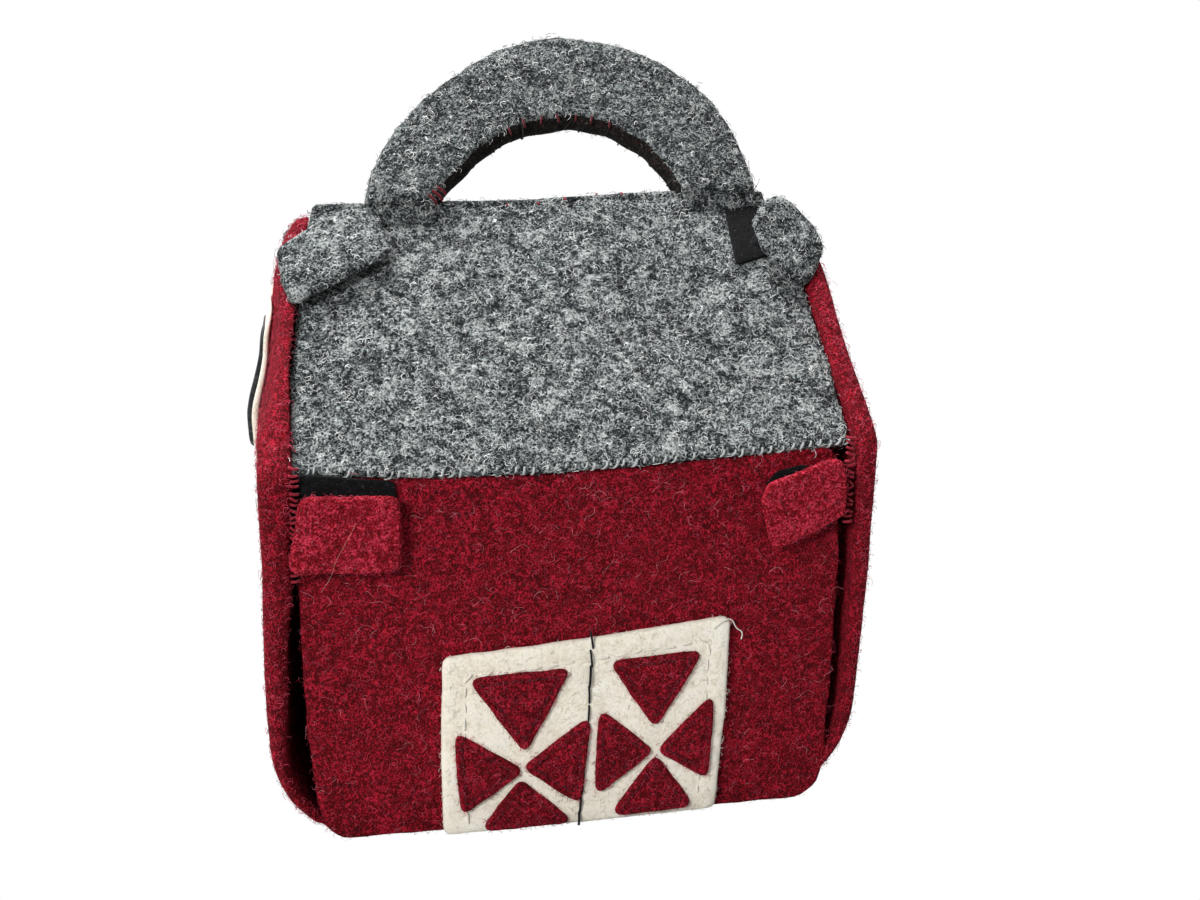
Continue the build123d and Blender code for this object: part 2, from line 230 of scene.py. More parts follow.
def cut_felt(name, outline, place, thick, edge, pitch=2.6, crown=(0.0, 1.0), wave=(0.3, 26.0), seed=0,
             groove=(0.0, 0.0)):
    """A closed sheet or pad with a rounded edge; place(u, v, w) gives the point w out from its middle.

    crown is how far it bulges and how far in, wave the height and length of its ripples, and groove
    the depth of a line of stitches pulled into it and how far in that runs.
    """
    n = len(outline)
    inward = []
    for k in range(n):
        run = (outline[(k + 1) % n] - outline[k - 1]).normalized()
        inward.append(Vector((-run.y, run.x)))
    # The points of the face stand in rows like bricks, a pitch apart and clear of the last ring.
    last = [p + d * edge for p, d in zip(outline, inward)]
    top = max(p.y for p in last)
    inner = []
    row = 0
    y = min(p.y for p in last) + 0.7 * pitch
    while y < top:
        cross = []
        for p, q in zip(last, last[1:] + last[:1]):
            if (p.y > y) != (q.y > y):
                cross.append(p.x + (y - p.y) * (q.x - p.x) / (q.y - p.y))
        cross.sort()
        for left, right_end in zip(cross[::2], cross[1::2]):
            room = right_end - left - 1.2 * pitch
            many = max(0, int(room / pitch))
            for k in range(many + 1 if room > 0 else 0):
                x = left + 0.6 * pitch + (room * (k + 0.5 * (row % 2)) / (many + 0.5) if many else room / 2)
                q = Vector((x, y))
                if min((q - p).length_squared for p in last) > (0.55 * pitch) ** 2:
                    inner.append(q)
        y += 0.87 * pitch
        row += 1
    flat, _, faces, *_ = geometry.delaunay_2d_cdt(last + inner, [], [list(range(n))], 1, 1e-6)

    def lift(q, share):
        """How far the face at q stands out from the middle."""
        gap = min((q - p).length for p in outline)
        t = min(gap / crown[1], 1.0)
        pulled = groove[0] * max(0.0, 1 - abs(gap - groove[1]) / 1.3) if groove[0] else 0.0
        return thick / 2 * share + crown[0] * (1 - (1 - t) ** 2) - pulled

    def bend(q):
        return wave[0] * (wavy(q.x, q.y, seed, wave[1]) * 1.6 + 0.5 * wavy(q.x, q.y, seed + 1, wave[1] / 2.7))

    bm = bmesh.new()

    def raised(points, side, share):
        """Corners on one face of the felt, at a share of its full thickness."""
        return [bm.verts.new(place(q.x, q.y, bend(q) + side * lift(q, share))) for q in points]

    def band(before, after):
        for k in range(n):
            bm.faces.new((before[k], before[(k + 1) % n], after[(k + 1) % n], after[k]))

    rim = raised(outline, 0, 0.0)
    for side in (1, -1):
        before = rim
        for inset, share in ((0.06, 0.34), (0.2, 0.6), (0.5, 0.87)):
            ring = raised([p + d * edge * inset for p, d in zip(outline, inward)], side, share)
            band(before, ring)
            before = ring
        corners = raised(flat, side, 1.0)
        band(before, corners)
        for f in faces:
            bm.faces.new([corners[i] for i in f])
    bmesh.ops.recalc_face_normals(bm, faces=bm.faces)
    mesh = bpy.data.meshes.new(name)
    bm.to_mesh(mesh)
    bm.free()
    mesh.shade_smooth()
    return put(name, mesh)


def tone(code):
    """A colour written as in a dyer's chart, turned to linear values."""
    parts = [int(code[i : i + 2], 16) / 255 for i in (1, 3, 5)]
    return tuple(c / 12.92 if c <= 0.04045 else ((c + 0.055) / 1.055) ** 2.4 for c in parts) + (1.0,)


def maths(tree, operation, *values):
    return node(tree, "ShaderNodeMath", *values, operation=operation)


def new_group(name, kind, result, **inputs):
    """An empty group of nodes, with what goes in and the socket of its result."""
    made = bpy.data.node_groups.new(name, kind)
    for key, value in inputs.items():
        made.interface.new_socket(name=key, in_out="INPUT", socket_type="NodeSocket" + value)
    made.interface.new_socket(name=result[0], in_out="OUTPUT", socket_type="NodeSocket" + result[1])
    return made, made.nodes.new("NodeGroupInput").outputs, made.nodes.new("NodeGroupOutput").inputs[0]


def fibre_group():
    """Thin broken wavy lines, as wool fibres lie in felt: a mask from 0 to 1."""
    made, give, end = new_group(
        "wool_fibres", "ShaderNodeTree", ("Lines", "Float"),
        Vector="Vector", Scale="Float", Width="Float", Share="Float", Seed="Float",
    )
    add, sums = partial(node, made), partial(maths, made)
    cloud = partial(add, "ShaderNodeTexNoise", noise_dimensions="4D")
    place, scale, seed = give["Vector"], give["Scale"], give["Seed"]
    drift = cloud(Vector=place, Scale=sums("MULTIPLY", scale, 0.55), W=sums("ADD", seed, 31.7), Detail=1.0)
    centred = add("ShaderNodeVectorMath", drift.outputs["Color"], (0.5, 0.5, 0.5), operation="SUBTRACT")
    spread = add("ShaderNodeVectorMath", centred, operation="SCALE", Scale=sums("DIVIDE", 2.2, scale))
    moved = add("ShaderNodeVectorMath", place, spread, operation="ADD")
    field = cloud(Vector=moved, Scale=scale, W=seed, Detail=0.0)
    line = add(
        "ShaderNodeMapRange", interpolation_type="SMOOTHSTEP",
        Value=sums("ABSOLUTE", sums("SUBTRACT", field, 0.5)), From_Max=give["Width"], To_Min=1.0, To_Max=0.0,
    )
    parts = cloud(Vector=place, Scale=sums("MULTIPLY", scale, 0.8), W=sums("ADD", seed, 11.3), Detail=1.0)
    limit = sums("SUBTRACT", 0.78, sums("MULTIPLY", give["Share"], 0.5))
    broken = add(
        "ShaderNodeMapRange", interpolation_type="SMOOTHSTEP",
        Value=parts, From_Min=limit, From_Max=sums("ADD", limit, 0.07),
    )
    feed(made, end, sums("MULTIPLY", line, broken))
    return made


WOOL_FIBRES = fibre_group()


def felt_finish(name, dark, middle, light, layers, contrast=(1.0, 1.0, 1.0), grain=750.0, sheen=0.2,
                sheen_tint="#ffffff", bump=0.5):
    """Felt between a dark and a light colour, as single fibres, tufts and clouds of wool mix in it.

    contrast says how strongly those three show. Each layer of lying fibres is a colour, how many to
    the metre, their width, their share of the face, how well they cover, and how far they stand up.
    """
    made = bpy.data.materials.new(name)
    made.use_nodes = True
    tree = made.node_tree
    tree.nodes.clear()
    add, sums = partial(node, tree), partial(maths, tree)
    place = add("ShaderNodeTexCoord").outputs["Object"]
    speckles = [
        add("ShaderNodeTexNoise", Vector=place, Scale=grain / coarser, Detail=detail, Roughness=0.6)
        for coarser, detail in ((1.0, 2.0), (2.6, 2.0), (9.0, 3.0))
    ]
    height = 0.5 - 0.5 * sum(contrast)
    for speckle, strength in zip(speckles, contrast):
        height = sums("MULTIPLY_ADD", speckle, strength, height)
    colour = add("ShaderNodeValToRGB", height)
    stops = colour.color_ramp.elements
    stops[0].color, stops[1].color = tone(dark), tone(light)
    stops.new(0.5).color = tone(middle)
    for k, (dye, scale, width, share, amount, rise) in enumerate(layers):
        lines = add(
            "ShaderNodeGroup", node_tree=WOOL_FIBRES,
            Vector=place, Scale=scale, Width=width, Share=share, Seed=3.7 * k + 1.0,
        )
        mixed = add("ShaderNodeMix", data_type="RGBA", Factor=sums("MULTIPLY", lines, amount))
        for socket, value in zip(mixed.inputs[6:8], (colour, tone(dye))):
            feed(tree, socket, value)
        colour = mixed.outputs[2]
        height = sums("MULTIPLY_ADD", lines, rise, height)
    skin = add(
        "ShaderNodeBsdfPrincipled", Base_Color=colour, Sheen_Weight=sheen, Sheen_Roughness=0.5,
        Sheen_Tint=tone(sheen_tint), Specular_IOR_Level=0.15,
        Normal=add("ShaderNodeBump", Strength=bump, Distance=0.0005, Height=height),
        Roughness=add("ShaderNodeMapRange", Value=speckles[0], To_Min=0.95, To_Max=0.75),
    )
    add("ShaderNodeOutputMaterial", Surface=skin)
    return made


def finish_piece(piece, material, body, slot, *nodes):
    """Gives a piece its finish and the body it moves with, and lets it stand for CAD nodes."""
    piece.data.materials.append(material)
    if body:
        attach(piece, body)
    if nodes:
        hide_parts(*nodes)


red_felt = felt_finish(
    "red_wool_felt", "#480209", "#74030f", "#c8203a",
    [("#35010a", 700.0, 0.050, 0.55, 0.6, -0.4), ("#a31c33", 560.0, 0.034, 0.56, 0.7, 0.5),
     ("#cf5a72", 430.0, 0.016, 0.45, 0.7, 0.8)],
    contrast=(3.4, 1.45, 1.0), grain=1400.0, sheen=0.04, sheen_tint="#ff6075", bump=0.9,
)
green_felt = felt_finish(
    "green_wool_felt", "#2c380c", "#56672a", "#86964c",
    [("#2a360a", 620.0, 0.045, 0.5, 0.6, -0.4), ("#98a562", 480.0, 0.024, 0.45, 0.5, 0.5)],
    contrast=(0.9, 0.7, 0.5),
)

ROLL_WIDE, ROLL_HIGH = 36.0, 40.0  # of the rolled foot at the left and right
FOOT_FLAT = 113.0 - ROLL_WIDE


def roll_rise(x):
    """Height of the rolled foot's outside above the floor."""
    over = min(max(abs(x) - FOOT_FLAT, 0.0) / ROLL_WIDE, 0.98)
    return ROLL_HIGH * (1 - sqrt(1 - over * over))


base = cut_felt(
    "base_pad", rounded([(-89, -86.8), (89, -86.8), (89, 86.8), (-89, 86.8)], 4.0, 3.0, seed=1),
    lambda x, y, w: at(x, y, 3.6 + roll_rise(x) + w),
    7.0, 2.5, pitch=3.2, crown=(0.25, 20.0), wave=(0.25, 30.0), seed=1,
)
finish_piece(base, red_felt, "shell", "red_felt", "base_outer_felt", "base_padding")

floor_felt = cut_felt(
    "base_lining_felt", rounded([(-88, -85), (88, -85), (88, 85), (-88, 85)], 3.0, 3.0, seed=2),
    lambda x, y, w: at(x, y, 8.1 + roll_rise(x) + w), 1.5, 0.8, pitch=3.2, wave=(0.25, 30.0), seed=1,
)
finish_piece(floor_felt, green_felt, "shell", "green_felt", "base_lining")

# ---- Front and back walls --------------------------------------------------------------
# Each wall is one sheet of thick red felt, cut wider at the eaves, with rounded bottom corners
# and a thin green felt sheet inside. It is overcast to the roof above and to the base below.

FACES = {"front": 1, "back": -1}  # a shape drawn for the front is turned half round for the back
SIDES = {"left": -1, "right": 1}
WALL_OUT, EAVE = 90.0, 144  # how far out the walls' faces stand, and the height of the eaves
WALL_EDGE = [
    (-90.5, 0.2), (-96.4, 5.5), (-99.0, 17), (-101.0, 41), (-102.2, 74), (-102.4, 106),
    (101.2, 97), (100.2, 46), (98.6, 17), (96.0, 5.5), (89, 0.2),
]


def belly(x, z):
    """How far a wall bows out: a little at its middle and more at its foot, where the base pushes it."""
    rise = clip(z / EAVE)
    foot = max(1 - max(z, 0.0) / 75, 0.0)
    return 1.2 * sin(pi * rise) * cos(x / 70) ** 2 + 4.2 * foot * foot


def wall_top(x):
    """Height of the eave seam, which hangs lower in the middle."""
    return 143.8 - 4.0 * (1 - (abs(x + 8) / 108) ** 1.6)


for face, sign in FACES.items():
    outline = [(sign * x, z) for x, z in WALL_EDGE]
    outline += [(sign * x, wall_top(x) - 0.9) for x in range(-98, 100, 14)]
    middle = Vector((0, 70))
    outline.sort(key=lambda p: (Vector(p) - middle).angle_signed(Vector((0, -1))) % (2 * pi))
    wall = cut_felt(
        f"{face}_wall", rounded([(p[0], p[1], 7.0) for p in outline], 7.0, 2.8, seed=4 + sign),
        lambda x, z, w: at(x, -sign * (88.5 + w + belly(x, z)), z),
        3.0, 1.4, pitch=3.0, wave=(0.35, 34.0), seed=6 + sign,
    )
    finish_piece(wall, red_felt, "shell", "red_felt", f"{face}_wall_felt")

    lining = cut_felt(
        f"{face}_wall_inside",
        rounded([(-92.5, 9), (92.5, 9), (94.5, 137), (-94.5, 137)], 3.0, 3.2, seed=8 + sign),
        lambda x, z, w: at(x, -sign * (86.1 + w + 0.85 * belly(x, z)), z),
        1.5, 0.8, pitch=3.6, wave=(0.2, 34.0), seed=6 + sign,
    )
    finish_piece(lining, green_felt, "shell", "green_felt", f"{face}_wall_lining")

# ---- Roof ------------------------------------------------------------------------------
# Two slopes of heather grey felt, lined with green, sewn to the walls at the eaves and to each
# other along the ridge, where the edge of the back slope stands up a little behind the front one.

SLOPE_COS, SLOPE_SIN, SLOPE = 0.73108, 0.68229, 123.1  # the roof's pitch and the length of its slope
EAVE_SAG = ((-103, 1.2), (-82, -1.2), (-66, -3.0), (-44, -3.9), (-20, -4.4), (-6, -4.4), (15, -3.8), (45, -2.6),
            (68, -1.8), (83, -0.9), (103, 0.2))


def hump(z, low, high):
    """A smooth rise and fall between two heights."""
    return sin(pi * clip((z - low) / (high - low)))


def slope(x, s, w, sign=1):
    """A point of a roof slope: s up from the eave, w out from the middle of the felt."""
    sag = -1.3 * hump(s, 0, SLOPE) * cos(x / 75) ** 2
    n = w - 1.5 + sag
    lift = 1.6 * hump(sign * x, 0, 92) * ease((s - 70) / 50)
    return at(
        sign * x, sign * (-WALL_OUT + s * SLOPE_COS - n * SLOPE_SIN),
        EAVE + s * SLOPE_SIN + n * SLOPE_COS + lift,
    )


grey_felt = felt_finish(
    "grey_heather_felt", "#0d1012", "#434a4d", "#b6bcba",
    [("#0d1012", 640.0, 0.060, 0.60, 0.85, -0.4), ("#1c2226", 430.0, 0.040, 0.55, 0.7, -0.3),
     ("#c5cbca", 640.0, 0.045, 0.58, 0.8, 0.5), ("#f4f6f4", 430.0, 0.028, 0.58, 0.9, 0.7)],
    contrast=(3.0, 1.8, 2.1), grain=1150.0, sheen=0.03, bump=1.0,
)

for face, sign in FACES.items():
    sagging = 1.0 if sign == 1 else 0.5
    edge = [(x, s * sagging, 12.0) for x, s in EAVE_SAG]
    edge[0], edge[-1] = (*edge[0][:2], 2.0), (*edge[-1][:2], 2.0)
    top = SLOPE + (0.2 if sign == 1 else 1.6)
    sides = [(102.5, 36, 20), (99.5, 75, 20), (91.5, top, 2), (0, top - 0.8, 60), (-92.0, top, 2),
             (-98.6, 80, 20), (-102.4, 40, 20)]
    roof = cut_felt(
        f"{face}_roof", rounded(edge + sides, 8.0, 2.8, seed=20 + sign),
        lambda x, s, w: slope(x, s, w, sign), 3.0, 1.4, pitch=3.0, wave=(0.55, 30.0), seed=22 + sign,
    )
    finish_piece(roof, grey_felt, "shell", "grey_felt", f"{face}_roof_felt")

    lining = cut_felt(
        f"{face}_roof_inside", rounded([(-96, 7), (96, 7), (88, 118), (-88, 118)], 3.0, 3.2, seed=26 + sign),
        lambda x, s, w: slope(x, s, w - 2.3, sign), 1.5, 0.8, pitch=3.6, wave=(0.55, 30.0), seed=22 + sign,
    )
    finish_piece(lining, green_felt, "shell", "green_felt", f"{face}_roof_lining")

# ---- Gable ends ------------------------------------------------------------------------
# Each end is a pad of two red felts with wadding between, its soft edge thick with loose wool. Its
# foot curls under the barn, where the real end folds down to the floor.

GABLE_EDGE = {
    "left": [(-90, 3.6, 4), (-94.5, 8.5, 6), (-95.5, 20, 14), (-95.8, 60, 40), (-96, 146, 13), (0, 231.0, 9),
             (96, 146, 13), (95.5, 60, 40), (93.5, 20, 14), (88, 9.5, 8), (82, 4.6, 5)],
    "right": [(-88, 4.2, 5), (-92.5, 9.5, 8), (-93.5, 20, 14), (-94, 60, 40), (-96, 146, 13), (0, 231.0, 9),
              (96, 146, 13), (95.5, 60, 40), (93.5, 20, 14), (88, 9.5, 8), (82, 4.6, 5)],
}


def level(z, *steps):
    """A size that changes smoothly between heights; each step is (height, size)."""
    if z <= steps[0][0]:
        return steps[0][1]
    for (a, low), (b, high) in zip(steps, steps[1:]):
        if z <= b:
            return low + (high - low) * ease((z - a) / (b - a))
    return steps[-1][1]


GABLE_OUT = 107.0  # how far out the middle of a gable end stands


def gable_place(side):
    """Places points of a gable end: y along it, z up it and w out from its middle."""
    sign = SIDES[side]

    def place(y, z, w):
        over = min(max(ROLL_HIGH - z, 0.0) / ROLL_HIGH, 0.95)
        curl = ROLL_WIDE * (1 - sqrt(1 - over * over))
        front = clip((60 - y) / 156)
        lean = max(z - 150, 0.0) / 78
        tip = max(z - 196, 0.0) / 34
        if side == "left":
            bow = level(z, (0, 5.0), (20, 5.3), (70, 4.9), (110, 2.9), (150, 1.6), (175, 0.3))
            out = bow * front - 3.5 * lean
            full = level(z, (0, 0.5), (20, 0.53), (70, 0.89), (110, 1.2), (150, 1.4), (176, 0.85), (190, 0.74))
        else:
            bow = level(z, (10, -0.5), (100, 2.1), (150, 2.1), (175, 0.2))
            out = bow * front - 2.0 * lean
            full = level(z, (0, 0.55), (75, 0.63), (110, 0.72), (150, 0.9), (175, 1.04))
        out -= 10.0 * tip**1.5
        rim = (1 - ease((231 - z - 0.885 * abs(y)) / 26)) * ease((z - 150) / 28) * (1 - ease((z - 194) / 16))
        out -= (3.8 if side == "left" else 0.8) * rim
        if w > 0:
            w += 2.4 * hump(z, 80, 186) * max(cos(y / 54), 0.0)
        w *= 1 + (full - 1) * front
        z -= 5.0 * tip**2
        reach = GABLE_OUT + w + out - curl
        if z > 148:
            reach = max(reach, level(z, (172, 102.7), (199, 99.4), (228, 92.8)))
        return at(sign * reach, y, z)

    return place


def follow_gable(piece):
    """Bakes a piece's placement into its mesh; the piece is put on no body and does not fold with the gable
    end.
    """
    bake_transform(piece)


for side in SIDES:
    gable = cut_felt(
        f"{side}_gable", rounded(GABLE_EDGE[side], 12.0, 2.8, uneven=0.5, seed=30), gable_place(side),
        8.6, 3.6, pitch=3.0, crown=(0.35, 26.0), wave=(0.4, 38.0), seed=32,
    )
    finish_piece(
        gable, red_felt, None, "red_felt",
        f"{side}_gable_inner_felt", f"{side}_gable_padding", f"{side}_gable_outer_felt",
    )
    follow_gable(gable)

# ---- Hayloft windows -------------------------------------------------------------------
# On the outside of each gable end a white felt patch with a smaller charcoal pane over it.

white_felt = felt_finish(
    "white_wool_felt", "#e4dac2", "#fcf5e4", "#fffef6",
    [("#c9bfa8", 520.0, 0.030, 0.42, 0.5, -0.4), ("#fffdf6", 420.0, 0.024, 0.5, 0.6, 0.6)],
    contrast=(0.8, 0.8, 0.7), grain=700.0, sheen=0.08, bump=0.6,
)
charcoal_felt = felt_finish(
    "charcoal_wool_felt", "#0c0d0f", "#28292c", "#4c4e52",
    [("#0d0e10", 620.0, 0.05, 0.5, 0.7, -0.4), ("#7c7f81", 480.0, 0.022, 0.42, 0.6, 0.6)],
    contrast=(1.0, 0.8, 0.6),
)

for side in SIDES:
    place = gable_place(side)
    for name, felt, slot_name, node_name, half, low, high, out, corner in (
        ("window_frame", white_felt, "white_felt", "window_panel", 28, 131, 195, 5.4, 12),
        ("window_dark", charcoal_felt, "charcoal_felt", "window_pane", 21, 135, 183, 7.7, 8),
    ):
        patch = cut_felt(
            f"{side}_{name}",
            rounded([(-half, low), (half, low), (half, high), (-half, high)], corner, 2.0, seed=36),
            lambda y, z, w: place(y, z, w + out + 0.9 * max(-y / 28, 0.0)),
            2.3, 1.1, pitch=2.6, wave=(0.4, 18.0), seed=37,
        )
        finish_piece(patch, felt, f"{side}_gable", slot_name, f"{side}_{node_name}")

# ---- Barn doors ------------------------------------------------------------------------
# A white felt panel with a pair of doors: eight rounded red felt triangles leave a white X brace
# on each door. The panel is sewn flat on the front wall with running stitches.


def on_front(out):
    """Places points of the front wall at a distance out from its face."""
    return lambda x, z, w: at(x, -(WALL_OUT + out + w + belly(x, z)), z)


def unsettled(x, z):
    """Turns a place on the finished wall into the barn's own measure, before it settled to the left."""
    return x + settled(z), z


PANEL_EDGE = [
    (-52.6, 70.8), (-54.6, 36), (-55.4, -0.2), (-4, -0.1), (50.4, 0.9), (55.0, 40), (57.0, 79.2), (2, 74.5),
]
panel = cut_felt(
    "door_panel_felt", rounded([(*unsettled(*p), 3.5) for p in PANEL_EDGE], 3.5, 1.8, uneven=0.25, seed=41),
    on_front(1.9), 3.2, 1.3, pitch=1.8, crown=(0.4, 6.0), wave=(0.3, 16.0), seed=42, groove=(0.45, 8.2),
)
finish_piece(panel, white_felt, "shell", "white_felt", "door_panel")

TRIANGLES = {
    "left_door_top": [(-43.8, 62.6), (-4.6, 64.0), (-23.2, 30.8)],
    "left_door_outer": [(-49.6, 42.2), (-48.4, 7.6), (-23.6, 24.0)],
    "left_door_inner": [(2.4, 44.4), (-2.6, 8.0), (-24.6, 25.4)],
    "left_door_bottom": [(-25.4, 20.6), (-42.0, 0.9), (-4.8, 1.2)],
    "right_door_top": [(9.6, 65.3), (46.4, 67.0), (27.0, 36.4)],
    "right_door_inner": [(5.4, 46.6), (3.0, 10.8), (26.6, 27.8)],
    "right_door_outer": [(50.6, 49.8), (47.4, 14.0), (27.2, 27.2)],
    "right_door_bottom": [(27.0, 26.0), (8.2, 2.4), (41.8, 3.4)],
}
for name, tips in TRIANGLES.items():
    middle = (sum(p[0] for p in tips) / 3, sum(p[1] for p in tips) / 3)
    sides = []
    for p, q in zip(tips, tips[1:] + tips[:1]):
        half_way = ((p[0] + q[0]) / 2, (p[1] + q[1]) / 2)
        bulge = [h * 1.03 - m * 0.03 for h, m in zip(half_way, middle)]
        sides += [(*unsettled(*p), 3.0), (*unsettled(*bulge), 20.0)]
    triangle = cut_felt(
        f"{name}_felt", rounded(sides, 3.0, 1.3, uneven=0.3, seed=len(name)), on_front(4.4),
        2.6, 1.3, pitch=1.1, crown=(0.5, 6.0), wave=(0.25, 8.0), seed=len(name) + 50, groove=(1.3, 3.0),
    )
    finish_piece(triangle, red_felt, "shell", "red_felt", f"{name}_triangle")

# ---- Red tabs at the eaves ---------------------------------------------------------------
# Four red felt tabs sewn to the gables' edges close on black hook patches on the walls. Each has a
# soft black loop patch on its back.

# The grey lines in the black hook tape are painted glints of light on its hooks.
hook_tape = felt_finish(
    "black_hook_tape", "#010102", "#08080a", "#1d1e21",
    [("#4a4d50", 1000.0, 0.03, 0.5, 0.7, 0.6), ("#000000", 700.0, 0.05, 0.5, 0.6, -0.6)],
    contrast=(1.2, 0.8, 0.4), grain=1300.0, sheen=0.05,
)
loop_tape = felt_finish(
    "black_loop_tape", "#050506", "#17181b", "#2e3034",
    [("#35383b", 500.0, 0.03, 0.5, 0.6, 0.6), ("#000000", 700.0, 0.05, 0.5, 0.6, -0.6)],
    contrast=(1.0, 0.8, 0.4), grain=900.0, sheen=0.1,
)
# The tabs' red felt is a lighter copy of the walls' red felt: painted light, for tabs that catch more of the
# light than the walls.
tab_red_lit = felt_finish(
    "red_felt_painted_lighter", "#6a0410", "#9e0b1e", "#e8405a",
    [("#4a020a", 700.0, 0.050, 0.50, 0.6, -0.4), ("#c8304a", 560.0, 0.034, 0.56, 0.7, 0.5),
     ("#ea8091", 430.0, 0.018, 0.48, 0.7, 0.8)],
    contrast=(3.4, 1.8, 1.4), grain=1300.0, sheen=0.04, sheen_tint="#ff6075", bump=1.0,
)

RED_TABS = {
    ("front", "left"): [(-100.5, 137.6), (-86, 136.4), (-66.0, 135.6), (-64.8, 129), (-65.8, 106.4),
                        (-86, 107.0), (-106.5, 108.6)],
    ("front", "right"): [(99.6, 141.0), (86, 136.6), (70.4, 131.4), (67.2, 126), (72.0, 103.8),
                         (84, 109.4), (100.6, 117.6)],
    ("back", "left"): [(-103, 135.5), (-62, 134.0), (-62.5, 108), (-103, 107.5)],
    ("back", "right"): [(103, 136.0), (62, 135.5), (61.5, 108), (103, 107.5)],
}
HOOK_OUT = 0.75  # the middle of a hook patch's tape from the felt it is sewn to
WALL_HOOKS = {
    ("front", "left"): [(-100.6, 144.4), (-66.4, 139.6), (-66.0, 114), (-98.0, 114)],
    ("front", "right"): [(99.5, 131.5), (85, 136.6), (75.0, 134.6), (70.8, 130), (73, 108.5), (84, 111.5),
                         (99.5, 118)],
    ("back", "left"): [(-98, 140.5), (-66, 139.0), (-66, 114), (-98, 114)],
    ("back", "right"): [(98, 140.5), (66, 139.0), (66, 114), (98, 114)],
}


def tape_patch(name, kind, edge, place, seed):
    """A thin patch of tape, with rounded corners; hooks are stiffer than loops and lie less flat."""
    uneven, thick, wave = (0.15, 1.6, (0.15, 16.0)) if kind == "hook" else (0.1, 1.4, (0.1, 10.0))
    return cut_felt(name, rounded(edge, 1.5, 1.8, uneven), place, thick, 0.6, pitch=2.4, wave=wave, seed=seed)


for (face, side), edge in RED_TABS.items():
    sign, near = FACES[face], SIDES[side]
    body = f"{face}_{side}_wall_tab"
    tip_out, start = (2.6, 74.5) if (face, side) == ("front", "right") else (-0.5, 68)

    def tab_place(x, z, w):
        """The tab lies on its patch and dips back to the gable's edge at its root."""
        root, tip = clip((abs(x) - 84) / 20), clip((76 - abs(x)) / 14)
        return at(x, -sign * (WALL_OUT + 4.9 + w + 0.9 * root * root + tip_out * tip * tip), z)

    tab = cut_felt(
        f"{body}_felt",
        rounded([(*unsettled(*p), 5.0) for p in edge], 5.0, 1.8, uneven=0.4, seed=60 + sign + near),
        tab_place, 3.4, 1.6, pitch=2.0, crown=(0.4, 6.0), wave=(0.7, 12.0), seed=61 + 2 * sign + near,
        groove=(0.35, 3.4),
    )
    finish_piece(tab, tab_red_lit, body, "red_felt", body)
    end = start + 22
    soft = [(near * start, 111), (near * end, 112.5), (near * end, 132), (near * start, 129)]
    loop = tape_patch(f"{body}_loop_patch", "loop", soft, lambda x, z, w: tab_place(x, z, w - 2.35), 64)
    finish_piece(loop, loop_tape, body, "loop_tape", f"{body}_loop")
    hook = tape_patch(
        f"{face}_{side}_wall_hook_patch", "hook", WALL_HOOKS[(face, side)],
        lambda x, z, w: at(x, -sign * (WALL_OUT + HOOK_OUT + w), z), 66,
    )
    finish_piece(hook, hook_tape, "shell", "hook_tape", f"{face}_{side}_wall_hook")

# ---- Grey tabs at the ridge --------------------------------------------------------------
# Four grey felt tabs come over the gables' sloping edges and lie slanting up the roof, each with
# a loop patch that closes on a black hook patch. The right front one has curled up a little.


TAB_SLANT = radians(30.0)
TAB_START = (-111.2, 81.0)  # the middle of a tab's root: to the right, and up the slope


def slant(side, face, along, across, out):
    """A point of a grey tab: along it from the gable's outer edge, across it, and out from the roof."""
    x = TAB_START[0] + along * cos(TAB_SLANT) - across * sin(TAB_SLANT)
    s = TAB_START[1] + along * sin(TAB_SLANT) + across * cos(TAB_SLANT)
    y = -WALL_OUT + s * SLOPE_COS - out * SLOPE_SIN
    z = EAVE + s * SLOPE_SIN + out * SLOPE_COS
    return at(-SIDES[side] * x, FACES[face] * y, z)


def sewn_to_gable(piece):
    """Bakes a grey tab's placement into its mesh; its root lies on the gable's edge but is not made to bend,
    and the tab is put on no body.
    """
    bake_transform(piece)


GREY_TABS = {
    ("front", "left"): [(3.6, -14.6, 4), (24, -14.4, 30), (46.6, -14.0, 4), (52.0, -8.5, 5), (53.6, 4, 5),
                        (51.6, 13.0, 6), (42, 14.6, 10), (27, 13.6, 20), (12.5, 11.0, 5), (6.6, -3, 10)],
    ("front", "right"): [(5.0, -15.0, 5), (13, -16.0, 8), (26.5, -11.0, 8), (34.5, -2.0, 8), (34.0, 9.5, 7),
                         (30.5, 17.0, 6), (23.5, 18.0, 6), (12, 13.5, 10), (5.0, 7.0, 6), (3.6, -5.0, 8)],
    ("back", "left"): [(7, -11.5), (44, -11.3), (50, -6), (50, 6), (45, 11), (12, 11)],
    ("back", "right"): [(4, -11.5), (44, -11.3), (50, -6), (50, 6), (45, 11), (8, 11)],
}
